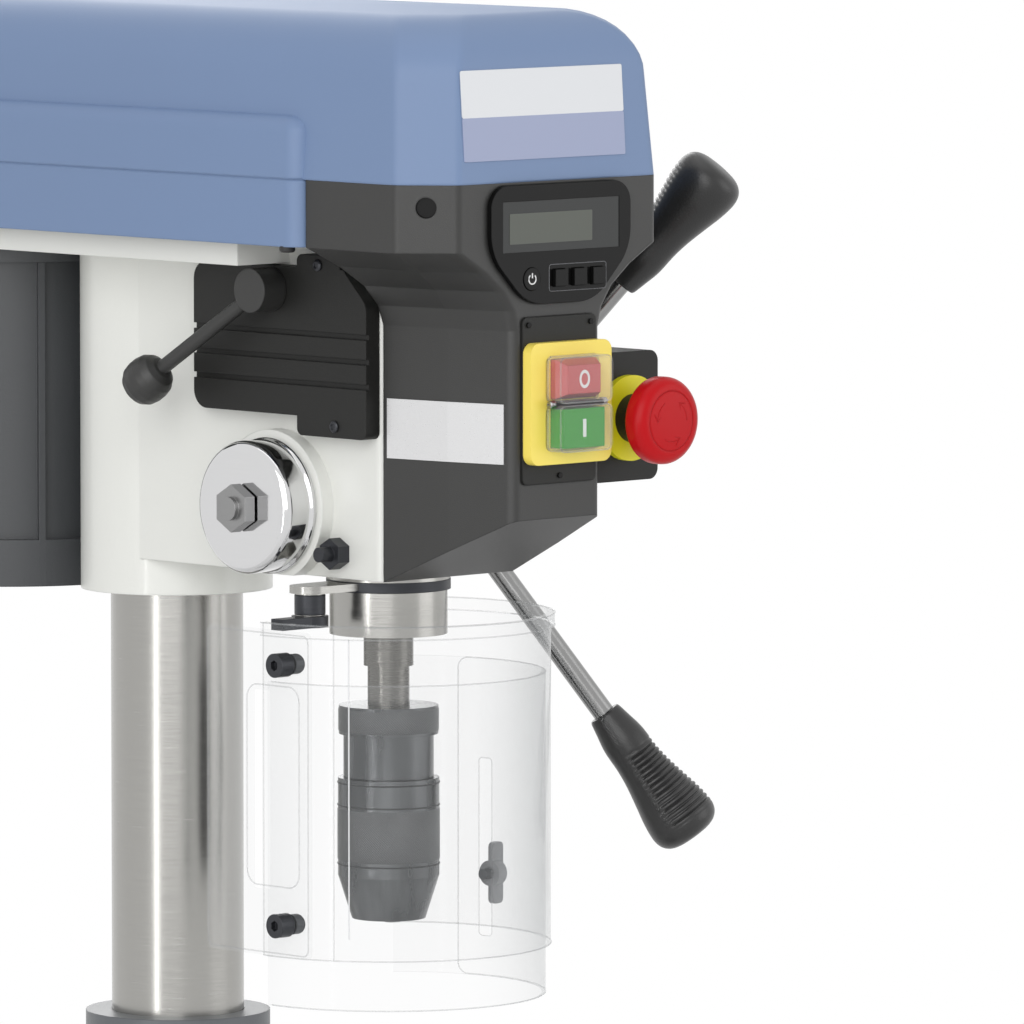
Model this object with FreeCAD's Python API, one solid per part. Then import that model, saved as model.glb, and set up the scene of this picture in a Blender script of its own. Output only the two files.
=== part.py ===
import FreeCAD, Part
import math
import os

V = FreeCAD.Vector

# Machine frame: +X right, -Y front, +Z up, origin on the column axis at the floor.
throat = 170.0
head_height = 1295.0
running_gap = 0.05
seat_gap = 0.3
overrun = 2.0
arc_steps = 4
knob_round_share = 0.85

# Base
base_width = 280.0
base_front = 340.0
base_rear = 110.0
base_height = 50.0
base_corner = 30.0
base_wall = 10.0
base_draft = 8.0
deck_thickness = 16.0
base_hole_radius = 7.0
base_hole_inset = 26.0
base_slot_width = 14.0
base_slot_length = 120.0
base_slot_spacing = 110.0
base_slot_y = -190.0
pad_width = 210.0
pad_length = 190.0
pad_height = 4.0

# Column, its flange and the rack behind it
column_radius = 36.5
column_wall = 6.0
column_socket = 150.0
column_top = head_height + column_socket
flange_radius = 68.0
flange_plate = 18.0
flange_hub_radius = 46.0
flange_height = 80.0
flange_bolt_circle = 56.0
bolt_radius = 5.0
bolt_head_radius = 8.5
bolt_head_height = 6.5
rack_module = 3.0
rack_width = 18.0
rack_back = 6.0
rack_teeth_count = 94
collar_radius = 48.0
collar_height = 24.0

# Table, bracket and crank
table_top = 712.0
table_width = 270.0
table_front = 308.0
table_rear = 56.0
table_thickness = 14.0
table_rim = 30.0
table_wall = 8.0
table_corner = 18.0
table_bore_radius = 20.0
table_slot_width = 14.0
table_slot_length = 80.0
table_slot_spacing_x = 150.0
table_slot_spacing_y = 130.0
pivot_drop = 78.0
pivot_radius = 34.0
pivot_face = 112.0
pivot_lug = 26.0
tilt_bolt_radius = 8.0
bracket_radius = 54.0
bracket_height = 104.0
arm_radius = 30.0
split_width = 5.0
ear_length = 26.0
ear_thickness = 16.0
ear_height = 34.0
clamp_radius = 6.0
pinion_teeth = 12
crank_shaft_radius = 8.0
crank_shaft_reach = 96.0
gearbox_wall = 8.0
crank_length = 105.0
crank_width = 22.0
crank_thickness = 10.0
crank_grip_radius = 12.0
crank_grip_length = 62.0
clamp_lever_length = 90.0
clamp_lever_radius = 5.0

# Head casting
head_half_width = 48.0
head_front = 47.0
head_top = 183.0
head_corner = 6.0
socket_radius = 53.0
socket_drop = 20.0
deck_drop = 15.0
deck_half_width = 86.0
motor_y = 135.0
quill_radius = 25.0
boss_radius = 41.0
boss_reach = 8.0

# Front casing and top cover, seen from above
wall = 3.0
casing_half_back = 48.0
casing_half_mid = 41.0
casing_half_front = 32.0
casing_mid = 90.0
casing_front = 131.0
underside_front = 37.0
flare_start = 138.0
flare_end = 181.0
parting_height = 217.0
upper_half = 95.0
upper_half_front = 72.0
upper_back = 37.0
upper_chamfer = 106.0
cover_height = 305.0
cover_skirt = 181.0
cover_rear_half = 100.0
cover_bulge_front = 36.0
cover_bulge_top = 251.0
cover_round = 34.0
cover_edge = 12.0
cover_draft = 6.0
cover_round_steps = 6
cover_bulge_round = 10.0
casing_edge = 6.0
casing_cavity = 28.0
display_cavity = 35.0
casing_screw_radius = 5.5
casing_screw_f = 118.0
casing_screw_z = 205.0

# Display
bezel_width = 103.0
bezel_top = 215.5
bezel_bottom = 152.0
bezel_foot_width = 50.0
bezel_shoulder = 179.0
bezel_corner = 12.0
bezel_round = 28.0
bezel_thickness = 6.0
window_width = 86.0
window_height = 27.0
window_z = 193.5
window_depth = 2.0
key_size = 9.0
key_z = 165.5
key_travel = 1.0
key_reach = 2.5
power_key_radius = 6.0
power_key_x = -22.0
key_xs = (-2.0, 12.0, 26.0)

key_gap = 0.2
screw_inset = 4.0

# Switches
panel_width = 54.0
panel_bottom = 56.0
panel_top = 145.0
panel_thickness = 3.0
panel_recess = 1.5
plate_width = 60.0
plate_height = 65.0
plate_x = 3.0
plate_z = 99.0
plate_thickness = 6.0
plate_corner = 6.0
button_width = 30.0
button_height = 21.0
stop_z = 112.0
start_z = 86.0
button_reach = 10.0
button_travel = 3.0
boot_border = 4.0
boot_gap = 1.0
button_taper = 3.0
boot_wall = 1.2
switch_block_width = 44.0
switch_block_height = 52.0
switch_block_depth = 34.0
estop_box_right = 82.0
estop_box_bottom = 53.0
estop_box_top = 122.5
estop_box_front = 124.0
estop_box_back = 84.0
estop_x = 59.0
estop_z = 87.0
estop_ring_radius = 23.0
estop_ring_thickness = 4.0
estop_neck_radius = 13.0
estop_neck_reach = 13.0
mushroom_radius = 23.5
mushroom_thickness = 14.0
mushroom_reach = 34.5
mushroom_back_round = 4.0
mushroom_front_round = 6.5
estop_travel = 6.0
estop_stem_radius = 8.0

# Side cover and speed lever
side_cover_front = 44.0
side_cover_back = -92.0
side_cover_bottom = 87.0
side_cover_top = 167.0
side_cover_thickness = 10.0
side_cover_corner = 10.0
groove_width = 3.0
groove_depth = 2.0
tab_back = -10.0
top_tab_front = 23.5
top_tab_height = 7.0
low_tab_height = 10.5
side_cover_slope = 18.0
tab_corner = 4.0
speed_f = -30.0
speed_z = 154.0
speed_hub_radius = 12.0
speed_hub_length = 16.0
speed_shaft_radius = 6.0
speed_rod_radius = 4.0
speed_rod_length = 90.0
speed_knob_radius = 13.0

# Quill, spindle and chuck
quill_bore = 18.0
quill_top = 148.0
quill_collar_radius = 32.0
quill_collar_top = 9.5
quill_collar_height = 24.0
quill_travel = 80.0
feed_module = 1.5
feed_teeth = 13
feed_rack_teeth = 22
feed_rack_low = 20.0
feed_rack_width = 14.0
bearing_width = 12.0
spindle_radius = 10.0
nose_radius = 13.5
nose_drop = 51.0
arbor_radius = 11.35
arbor_drop = 72.5
taper_tip_radius = 8.0
taper_depth = 24.0
chuck_ring_radius = 27.0
chuck_ring_drop = 88.0
chuck_body_radius = 24.5
chuck_body_drop = 111.5
sleeve_radius = 27.5
sleeve_drop = 165.0
chuck_drop = 188.5
chuck_mouth_radius = 20.0
jaw_open_radius = 8.0
jaw_travel = 24.5

# Feed shaft, hub, handles and return spring
feed_f = -33.0
feed_z = 37.0
feed_shaft_radius = 8.0
hub_x = 71.0
hub_radius = 24.0
hub_length = 34.0
rod_radius = 6.0
rod_angle = 25.0
rod_first = 57.0
handle_length = 235.0
grip_length = 84.0
grip_small_radius = 9.5
grip_neck_radius = 13.0
grip_large_radius = 19.5
grip_end_radius = 18.0
grip_end_round = 12.0
cap_inner_x = 56.0
cap_outer_x = 78.0
cap_radius = 36.0
cap_wall = 2.0
cap_rim_radius = 37.0
cap_rim_width = 4.0
cap_nut_radius = 13.0
cap_nut_height = 7.0
spring_strip = 1.0
spring_turns = 3
gib_f = 13.0
gib_z = 13.5
gib_nut_radius = 8.5
gib_nut_height = 8.0
gib_stud_radius = 4.0
gib_stud_reach = 16.0

# Chuck guard
guard_radius = 88.0
guard_sheet = 2.5
guard_left = 183.0
guard_right = -45.0
guard_top = 22.0
guard_bottom = 202.0
extension_top = 54.0
extension_bottom = 229.0
extension_rise = 30.0
extension_drop = 60.0
guard_rim = 4.0
guard_rim_height = 7.0
side_plate_top = 25.0
side_plate_bottom = 201.0
side_plate_back = 45.0
side_plate_slot_width = 12.0
side_slot_top = 58.0
side_slot_bottom = 165.0
guard_bolt_top = 43.0
guard_bolt_bottom = 183.0
guard_bolt_radius = 3.0
guard_bolt_head = 6.5
guard_bolt_reach = 9.0
ring_height = 9.0
ring_radius = 33.5
ring_arm_top = 4.0
ring_arm_thickness = 4.0
ring_arm_half_width = 11.0
post_x = 58.0
post_radius = 8.0
post_drop = 20.0
wing_nut_radius = 7.0
wing_span = 17.0

# Variable speed drive
sleeve_outer = 17.0
hub_outer = 20.0
sheave_radius = 56.0
sheave_rim = 3.0
sheave_angle = 13.0
belt_radius = 40.0
belt_width = 22.0
belt_thickness = 9.0
belt_height = 236.0
shaft_top = 284.0
bearing_pad = 14.0

# Motor
motor_radius = 74.0
motor_length = 190.0
motor_flange = 80.0
motor_flange_thickness = 10.0
motor_end_length = 26.0
motor_shaft_radius = 10.0
motor_fins = 12
fin_height = 4.0
fin_width = 4.0
terminal_width = 70.0
terminal_height = 80.0
terminal_depth = 24.0


def up(z):
    """Height above the floor of a height above the head casting's underside."""
    return head_height + z


def fore(f):
    """Y of a distance in front of the spindle axis."""
    return -throat - f


def box(x0, x1, y0, y1, z0, z1):
    low = V(min(x0, x1), min(y0, y1), min(z0, z1))
    return Part.makeBox(abs(x1 - x0), abs(y1 - y0), abs(z1 - z0), low)


def rod(radius, start, end):
    """Round bar between two points."""
    run = end - start
    return Part.makeCylinder(radius, run.Length, start, run)


def post(radius, x, y, z0, z1):
    return rod(radius, V(x, y, min(z0, z1)), V(x, y, max(z0, z1)))


def tube(outer, inner, x, y, z0, z1):
    return post(outer, x, y, z0, z1).cut(post(inner, x, y, z0, z1))


def plate(points, z0, z1):
    """Flat outline, seen from above, raised between two heights."""
    wire = Part.makePolygon([V(x, y, z0) for x, y in points + points[:1]])
    return Part.Face(wire).extrude(V(0, 0, z1 - z0))


def turned(profile, x, y):
    """Solid turned about a vertical axis from (radius, height) points."""
    ring = [V(x + r, y, z) for r, z in profile + profile[:1]]
    return Part.Face(Part.makePolygon(ring)).revolve(V(x, y, 0), V(0, 0, 1), 360)


def turned_along(profile, start, direction):
    """Solid turned about any axis from (radius, distance along it) points."""
    shape = turned(profile, 0, 0)
    turn = FreeCAD.Rotation(V(0, 0, 1), direction)
    shape.Placement = FreeCAD.Placement(start, turn)
    return shape


def rounded_wire(points, radii):
    """Closed wire through the points, each corner rounded by its radius or left sharp by 0."""
    ends = []
    arcs = []
    for i, (corner, radius) in enumerate(zip(points, radii)):
        before = (points[i - 1] - corner).normalize()
        after = (points[(i + 1) % len(points)] - corner).normalize()
        half_angle = before.getAngle(after) / 2
        reach = radius / math.tan(half_angle)
        ends.append((corner + before * reach, corner + after * reach))
        sagitta = radius / math.sin(half_angle) - radius
        arcs.append(corner + (before + after).normalize() * sagitta if radius else None)
    edges = []
    for i, (start, end) in enumerate(ends):
        if arcs[i]:
            edges.append(Part.Arc(start, arcs[i], end).toShape())
        following = ends[(i + 1) % len(ends)][0]
        if end.distanceToPoint(following) > shape_tolerance * throat:
            edges.append(Part.makeLine(end, following))
    return Part.Wire(edges)


def stepped_corner(before, corner, after, radius):
    """Points along the arc that rounds a corner of a (radius, distance) outline."""
    points = [V(r, 0, z) for r, z in (before, corner, after)]
    back, on = [(p - points[1]).normalize() for p in (points[0], points[2])]
    half_angle = back.getAngle(on) / 2
    centre = points[1] + (back + on).normalize() * (radius / math.sin(half_angle))
    arm = points[1] + back * (radius / math.tan(half_angle)) - centre
    sweep = math.degrees(math.pi - 2 * half_angle)
    turns = [FreeCAD.Rotation(on.cross(back), sweep * i / arc_steps) for i in range(arc_steps + 1)]
    places = [centre + turn.multVec(arm) for turn in turns]
    return [(p.x, p.z) for p in places]


def turned_round(profile, radii, start, direction):
    """Solid turned about any axis, its corners rounded in short steps by their radii."""
    outline = []
    for i, (corner, radius) in enumerate(zip(profile, radii)):
        if radius:
            after = profile[(i + 1) % len(profile)]
            outline += stepped_corner(profile[i - 1], corner, after, radius)
        else:
            outline.append(corner)
    return turned_along(outline, start, direction)


def ball_knob(radius, centre, direction):
    """Round knob, a little flat at both ends."""
    profile = [(0, -radius), (radius, -radius), (radius, radius), (0, radius)]
    round_radius = knob_round_share * radius
    return turned_round(profile, (0, round_radius, round_radius, 0), centre, direction)


def upright_edges(shape):
    return [e for e in shape.Edges if e.Length > 0 and straight_up(e)]


def straight_up(edge):
    first, last = edge.Vertexes[0].Point, edge.Vertexes[-1].Point
    run = last - first
    return run.Length > 0 and abs(run.z) / run.Length > 1 - shape_tolerance


def edges_at(shape, z):
    """Edges that lie wholly at one height."""
    slack = head_height * shape_tolerance
    return [e for e in shape.Edges
            if abs(e.BoundBox.ZMin - z) < slack and abs(e.BoundBox.ZMax - z) < slack]


def rounded_box(x0, x1, y0, y1, z0, z1, radius):
    block = box(x0, x1, y0, y1, z0, z1)
    return block.makeFillet(radius, upright_edges(block))


def panel(x, z, width, height, corner, front, thickness):
    """Upright plate with round corners, its front face at one distance."""
    x0, x1 = x - width / 2, x + width / 2
    z0, z1 = up(z - height / 2), up(z + height / 2)
    block = box(x0, x1, fore(front), fore(front - thickness), z0, z1)
    along = [e for e in block.Edges if abs(e.tangentAt(e.FirstParameter).y) > 1 - shape_tolerance]
    return block.makeFillet(corner, along)


def hexagon(radius, start, direction, height):
    """Six sided nut or bolt head standing on a point."""
    corners = [V(radius * math.cos(math.radians(a)), radius * math.sin(math.radians(a)), 0)
               for a in range(0, 361, 60)]
    nut = Part.Face(Part.makePolygon(corners)).extrude(V(0, 0, height))
    nut.Placement = FreeCAD.Placement(start, FreeCAD.Rotation(V(0, 0, 1), direction))
    return nut


def around(shape, centre, axis, count):
    """Copies of a shape evenly spaced about an axis."""
    copies = []
    for i in range(count):
        turned_copy = shape.copy()
        turned_copy.rotate(centre, axis, 360 * i / count)
        copies.append(turned_copy)
    return copies


def joined(shapes):
    return shapes[0].multiFuse(shapes[1:]).removeSplitter() if len(shapes) > 1 else shapes[0]


def write(name, shape):
    """One STEP file, named after its piece."""
    solids = shape.Solids if hasattr(shape, "Solids") else [s for p in shape for s in p.Solids]
    out = solids[0] if len(solids) == 1 else Part.makeCompound(solids)
    assert out.isValid(), name
    out.exportStep(os.path.join("parts", name + ".step"))
    pieces[name] = out


pieces = {}
shape_tolerance = 0.000001
os.makedirs("parts", exist_ok=True)
across = V(1, 0, 0)
forward = V(0, -1, 0)
upward = V(0, 0, 1)


# Teeth shared by the feed rack and the table rack.
pressure_angle = math.radians(20)
root_clearance_share = 0.25
tooth_play_share = 0.08
flank_steps = 3


def gear(module, teeth, length, centre, tooth_angle):
    """Involute pinion along X with one tooth pointing at tooth_angle in the YZ plane."""
    pitch_radius = module * teeth / 2
    base_radius = pitch_radius * math.cos(pressure_angle)
    tip_radius = pitch_radius + module
    root_radius = pitch_radius - module * (1 + root_clearance_share)
    half_pitch_tooth = math.pi / teeth / 2 - module * tooth_play_share / pitch_radius
    roll_at_pitch = math.tan(pressure_angle) - pressure_angle
    start_radius = max(base_radius, root_radius)
    flank = []
    for i in range(flank_steps + 1):
        r = start_radius + (tip_radius - start_radius) * i / flank_steps
        slope = math.acos(min(1, base_radius / r))
        flank.append((r, half_pitch_tooth + roll_at_pitch - (math.tan(slope) - slope)))
    root_half = flank[0][1]
    side = [(root_radius, root_half)] + flank
    points = []
    for tooth in range(teeth):
        middle = 2 * math.pi * tooth / teeth + tooth_angle
        for r, half in side:
            points.append((r, middle - half))
        for r, half in reversed(side):
            points.append((r, middle + half))
    ring = [V(centre.x - length / 2, centre.y + r * math.cos(a), centre.z + r * math.sin(a))
            for r, a in points]
    return Part.Face(Part.makePolygon(ring + ring[:1])).extrude(V(length, 0, 0))


def rack_spaces(module, below, above, mesh_z, pitch_y, tip, half_width):
    """Cutters for the spaces of a rack that faces +Y, one centred at mesh_z."""
    pitch = math.pi * module
    depth = module * (1 + root_clearance_share)
    half = pitch / 4
    lean = math.tan(pressure_angle)
    cutters = []
    for i in range(-below, above + 1):
        z = mesh_z + i * pitch
        floor = half - depth * lean
        mouth = half + tip * lean
        corners = [(pitch_y - depth, z - floor), (pitch_y + tip, z - mouth),
                   (pitch_y + tip, z + mouth), (pitch_y - depth, z + floor)]
        ring = [V(-half_width, y, height) for y, height in corners + corners[:1]]
        cutters.append(Part.Face(Part.makePolygon(ring)).extrude(V(2 * half_width, 0, 0)))
    return cutters


# Base: a drafted casting, open below, with a machined pad and four foot bosses.
def rounded_outline(x0, x1, y0, y1, radius, z):
    block = rounded_box(x0, x1, y0, y1, z, z + 1, radius)
    return [f for f in block.Faces if abs(f.BoundBox.ZMax - z) < shape_tolerance][0].OuterWire


def drafted(x0, x1, y0, y1, z0, z1, corner, draft):
    low = rounded_outline(x0, x1, y0, y1, corner, z0)
    high = rounded_outline(x0 + draft, x1 - draft, y0 + draft, y1 - draft, corner - draft, z1)
    return Part.makeLoft([low, high], True, True)


def slot_cutter(x, y, length, width, z0, z1, along_x):
    """Slot with round ends; its length is from end to end."""
    run = (length - width) / 2
    dx, dy = (run, 0) if along_x else (0, run)
    side_x, side_y = (0, width / 2) if along_x else (width / 2, 0)
    ends = [post(width / 2, x + s * dx, y + s * dy, z0, z1) for s in (-1, 1)]
    middle = box(x - dx - side_x, x + dx + side_x, y - dy - side_y, y + dy + side_y, z0, z1)
    return middle.multiFuse(ends).removeSplitter()


def make_base():
    half = base_width / 2
    shell = drafted(-half, half, -base_front, base_rear, 0, base_height, base_corner, base_draft)
    inner = drafted(-half + base_wall, half - base_wall, -base_front + base_wall,
                    base_rear - base_wall, -overrun, base_height - deck_thickness,
                    base_corner - base_wall, base_draft)
    xs = (-half + base_hole_inset, half - base_hole_inset)
    ys = (-base_front + base_hole_inset, base_rear - base_hole_inset)
    feet = [(x, y) for x in xs for y in ys]
    bosses = [post(2 * base_hole_radius, x, y, 0, base_height - base_wall) for x, y in feet]
    stem = post(flange_radius, 0, 0, 0, base_height)
    top = base_height + pad_height
    pad = rounded_box(-pad_width / 2, pad_width / 2, base_slot_y - pad_length / 2,
                      base_slot_y + pad_length / 2, base_height - pad_height, top, base_wall)
    body = shell.cut(inner).multiFuse(bosses + [stem, pad]).removeSplitter()
    cutters = [post(base_hole_radius, x, y, -overrun, top) for x, y in feet]
    for side in (-1, 1):
        cutters.append(slot_cutter(side * base_slot_spacing / 2, base_slot_y, base_slot_length,
                                   base_slot_width, 0, top + overrun, False))
    for x, y in bolt_places():
        cutters.append(post(bolt_radius, x, y, base_height - deck_thickness, top))
    return body.cut(joined(cutters))


def bolt_places():
    places = []
    for i in range(4):
        angle = math.radians(45 + 90 * i)
        places.append((flange_bolt_circle * math.cos(angle), flange_bolt_circle * math.sin(angle)))
    return places


write("base", make_base())

# Column in its flange
flange_top = base_height + flange_height
flange_profile = [
    (column_radius + running_gap, base_height), (flange_radius, base_height),
    (flange_radius, base_height + flange_plate), (flange_hub_radius, base_height + flange_plate),
    (flange_hub_radius - wall, flange_top), (column_radius + running_gap, flange_top)]
flange = turned(flange_profile, 0, 0)
flange = flange.cut(joined([post(bolt_radius, x, y, base_height, base_height + 2 * flange_plate)
                            for x, y in bolt_places()]))
write("column_flange", flange)

bolts = []
for x, y in bolt_places():
    seat = base_height + flange_plate
    shank = post(bolt_radius - running_gap, x, y, base_height - deck_thickness, seat)
    head = hexagon(bolt_head_radius, V(x, y, seat), upward, bolt_head_height)
    bolts.append(shank.fuse(head).removeSplitter())
write("flange_bolts", bolts)

write("column", tube(column_radius, column_radius - column_wall, 0, 0, base_height, column_top))

# Rack behind the column, its collar, and the crank pinion that climbs it
pivot_z = table_top - pivot_drop
rack_pitch_y = column_radius + seat_gap + rack_back + rack_module * (1 + root_clearance_share)
rack_tip_y = rack_pitch_y + rack_module
crank_y = rack_pitch_y + rack_module * pinion_teeth / 2
rack_pitch = math.pi * rack_module
rack_low = flange_top + seat_gap
rack_high = rack_low + rack_teeth_count * rack_pitch
teeth_below = int((pivot_z - rack_low) / rack_pitch)
teeth_above = int((rack_high - pivot_z) / rack_pitch)
bar = box(-rack_width / 2, rack_width / 2, column_radius + seat_gap, rack_tip_y,
          rack_low, rack_high)
spaces = rack_spaces(rack_module, teeth_below, teeth_above, pivot_z, rack_pitch_y,
                     rack_module + overrun, rack_width)
write("column_rack", bar.cut(Part.makeCompound(spaces)))

collar_low = rack_high + seat_gap
collar = tube(collar_radius + wall, column_radius + running_gap, 0, 0,
              collar_low, collar_low + collar_height)
collar_screw = rod(bolt_radius, V(collar_radius - 2 * wall, 0, collar_low + collar_height / 2),
                   V(collar_radius + 3 * wall, 0, collar_low + collar_height / 2))
write("rack_collar", collar.fuse(collar_screw).removeSplitter())


# Table bracket: a split ring on the column, a pinion box behind it and an arm in front.
ear_x = -(bracket_radius + ear_length / 2)


def make_bracket():
    low, high = pivot_z - bracket_height / 2, pivot_z + bracket_height / 2
    ring = post(bracket_radius, 0, 0, low, high)
    tip = rack_module * (pinion_teeth / 2 + 1)
    box_half = rack_width / 2 + seat_gap + gearbox_wall
    housing = box(-box_half, box_half, column_radius, crank_y, pivot_z - tip - gearbox_wall,
                  pivot_z + tip + gearbox_wall)
    nose = rod(tip + gearbox_wall, V(-box_half, crank_y, pivot_z), V(box_half, crank_y, pivot_z))
    arm = rod(arm_radius, V(0, 0, pivot_z), V(0, -pivot_face, pivot_z))
    disc = rod(pivot_radius, V(0, -pivot_face + 2 * gearbox_wall, pivot_z),
               V(0, -pivot_face, pivot_z))
    ears = box(ear_x - ear_length / 2, -column_radius, -split_width / 2 - ear_thickness,
               split_width / 2 + ear_thickness, pivot_z - ear_height / 2,
               pivot_z + ear_height / 2)
    body = ring.multiFuse([housing, nose, arm, disc, ears]).removeSplitter()
    chamber = rod(tip + seat_gap, V(-rack_width / 2 - seat_gap, crank_y, pivot_z),
                  V(rack_width / 2 + seat_gap, crank_y, pivot_z))
    cutters = [
        post(column_radius + running_gap, 0, 0, low - overrun, high + overrun),
        box(-rack_width / 2 - seat_gap, rack_width / 2 + seat_gap, 0, rack_tip_y + seat_gap,
            low - overrun, high + overrun),
        box(-rack_width / 2 - seat_gap, rack_width / 2 + seat_gap, 0, crank_y,
            pivot_z - tip - seat_gap, pivot_z + tip + seat_gap),
        chamber,
        rod(crank_shaft_radius + running_gap, V(-box_half - overrun, crank_y, pivot_z),
            V(box_half + overrun, crank_y, pivot_z)),
        rod(tilt_bolt_radius + running_gap, V(0, -pivot_face - overrun, pivot_z),
            V(0, -column_radius, pivot_z)),
        box(ear_x - ear_length, 0, -split_width / 2, split_width / 2, low - overrun,
            high + overrun),
        rod(clamp_radius + running_gap, V(ear_x, -bracket_radius, pivot_z),
            V(ear_x, bracket_radius, pivot_z))]
    return body.cut(Part.makeCompound(cutters))


write("table_bracket", make_bracket())

shaft_left = -(rack_width / 2 + seat_gap + gearbox_wall)
crank_arm_x = crank_shaft_reach - crank_thickness
pinion = gear(rack_module, pinion_teeth, rack_width, V(0, crank_y, pivot_z), -math.pi)
crank_shaft = rod(crank_shaft_radius, V(shaft_left, crank_y, pivot_z),
                  V(crank_shaft_reach, crank_y, pivot_z))
write("crank_shaft", pinion.fuse(crank_shaft).removeSplitter())

crank_end = V(crank_arm_x, crank_y, pivot_z - crank_length)
hub = rod(crank_width / 2 + wall, V(crank_arm_x - crank_thickness, crank_y, pivot_z),
          V(crank_arm_x + crank_thickness, crank_y, pivot_z))
bar = box(crank_arm_x, crank_arm_x + crank_thickness, crank_y - crank_width / 2,
          crank_y + crank_width / 2, crank_end.z, pivot_z)
eye = rod(crank_width / 2, crank_end, crank_end + V(crank_thickness, 0, 0))
grip_pin = rod(crank_grip_radius / 3, crank_end, crank_end + V(crank_grip_length, 0, 0))
crank = hub.multiFuse([bar, eye, grip_pin]).removeSplitter()
write("table_crank", crank.cut(rod(crank_shaft_radius, V(0, crank_y, pivot_z),
                                   V(crank_shaft_reach, crank_y, pivot_z))))

grip_start = crank_end + V(crank_thickness + seat_gap, 0, 0)
grip_bore = crank_grip_radius / 3 + running_gap
grip_profile = [(grip_bore, 0), (0.8 * crank_grip_radius, 0),
                (crank_grip_radius, 0.6 * crank_grip_length),
                (0.8 * crank_grip_radius, crank_grip_length), (grip_bore, crank_grip_length)]
write("crank_grip", turned_along(grip_profile, grip_start, across))

# Clamp lever through the bracket's ears, and the bolt that the table tilts on
ear_front = -split_width / 2 - ear_thickness
lever_boss = V(ear_x, ear_front - 2 * clamp_radius, pivot_z)
clamp_bolt = rod(clamp_radius, lever_boss, V(ear_x, -ear_front + clamp_radius, pivot_z))
lever_hub = rod(2 * clamp_radius, lever_boss, V(ear_x, ear_front, pivot_z))
lever_end = lever_boss + V(-clamp_lever_length / 2, -clamp_radius, -clamp_lever_length)
lever_start = lever_boss + V(0, clamp_radius, 0)
lever = rod(clamp_lever_radius, lever_start, lever_end)
lever_ball = ball_knob(2 * clamp_lever_radius, lever_end, lever_end - lever_start)
write("clamp_lever", joined([clamp_bolt, lever_hub, lever, lever_ball]))

lug_front = -pivot_face - pivot_lug
bolt_back = -column_radius - column_wall
tilt_shank = rod(tilt_bolt_radius, V(0, bolt_back, pivot_z), V(0, lug_front, pivot_z))
tilt_head = hexagon(2 * tilt_bolt_radius, V(0, lug_front, pivot_z), forward, tilt_bolt_radius)
write("tilt_bolt", tilt_shank.fuse(tilt_head).removeSplitter())


# Table: ribbed slab with a round corner rim, a centre bore and four slots.
table_middle = -(table_front + table_rear) / 2


def make_table():
    half = table_width / 2
    slab = rounded_box(-half, half, -table_front, -table_rear, table_top - table_rim, table_top,
                       table_corner)
    under = rounded_box(-half + table_wall, half - table_wall, -table_front + table_wall,
                        -table_rear - table_wall, table_top - table_rim - overrun,
                        table_top - table_thickness, table_corner - table_wall)
    lug = rod(pivot_radius, V(0, -pivot_face, pivot_z), V(0, lug_front, pivot_z))
    web = box(-pivot_radius, pivot_radius, -pivot_face, lug_front, pivot_z,
              table_top - table_thickness)
    bore_boss = post(table_bore_radius + table_wall, 0, fore(0), table_top - table_rim, table_top)
    body = slab.cut(under).multiFuse([lug, web, bore_boss]).removeSplitter()
    cutters = [post(table_bore_radius, 0, fore(0), table_top - table_rim - overrun,
                    table_top + overrun),
               rod(tilt_bolt_radius + running_gap, V(0, 0, pivot_z),
                   V(0, lug_front - overrun, pivot_z))]
    for x in (-table_slot_spacing_x / 2, table_slot_spacing_x / 2):
        for y in (-table_slot_spacing_y / 2, table_slot_spacing_y / 2):
            cutters.append(slot_cutter(x, table_middle + y, table_slot_length, table_slot_width,
                                       table_top - table_rim, table_top + overrun, True))
    return body.cut(joined(cutters))


write("table", make_table())


# Head casting: a block round the quill, a socket on the column and a deck for the motor.
feed_y = fore(feed_f)
feed_height = up(feed_z)
feed_pitch_radius = feed_module * feed_teeth / 2
feed_journal = feed_pitch_radius + feed_module + seat_gap
feed_right = feed_rack_width / 2 + feed_rack_width / 2
sleeve_seat = up(quill_top + overrun + overrun)


def make_head():
    block = rounded_box(-head_half_width, head_half_width, fore(head_front), 0, up(0),
                        up(head_top), head_corner)
    socket = post(socket_radius, 0, 0, up(-socket_drop), up(head_top))
    deck = box(-deck_half_width, deck_half_width, fore(-socket_radius / 2), motor_y,
               up(head_top - deck_drop), up(head_top))
    deck_end = post(deck_half_width, 0, motor_y, up(head_top - deck_drop), up(head_top))
    left = rod(boss_radius, V(-head_half_width - boss_reach, feed_y, feed_height),
               V(0, feed_y, feed_height))
    left = left.cut(box(-throat, throat, 0, -2 * throat, up(-throat), up(0)))
    right = rod(hub_radius, V(0, feed_y, feed_height),
                V(head_half_width + boss_reach / 2, feed_y, feed_height))
    body = block.multiFuse([socket, deck, deck_end, left, right]).removeSplitter()
    far = head_half_width + 2 * boss_reach
    cutters = [
        post(quill_radius + running_gap, 0, fore(0), up(-overrun), sleeve_seat),
        post(bearing_seat + running_gap, 0, fore(0), sleeve_seat, up(head_top + overrun)),
        post(column_radius + running_gap, 0, 0, up(-socket_drop - overrun), column_top + overrun),
        rod(feed_journal + running_gap, V(-far, feed_y, feed_height),
            V(feed_right, feed_y, feed_height)),
        rod(feed_shaft_radius + running_gap, V(0, feed_y, feed_height),
            V(far, feed_y, feed_height)),
        rod(gib_stud_radius + running_gap, V(-far, fore(gib_f), up(gib_z)),
            V(-quill_radius, fore(gib_f), up(gib_z))),
        rod(speed_shaft_radius + running_gap, V(-far, fore(speed_f), up(speed_z)),
            V(-quill_radius - wall, fore(speed_f), up(speed_z))),
        post(motor_shaft_radius + overrun, 0, motor_y, up(head_top - deck_drop - overrun),
             up(head_top + overrun))]
    return body.cut(Part.makeCompound(cutters))


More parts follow.
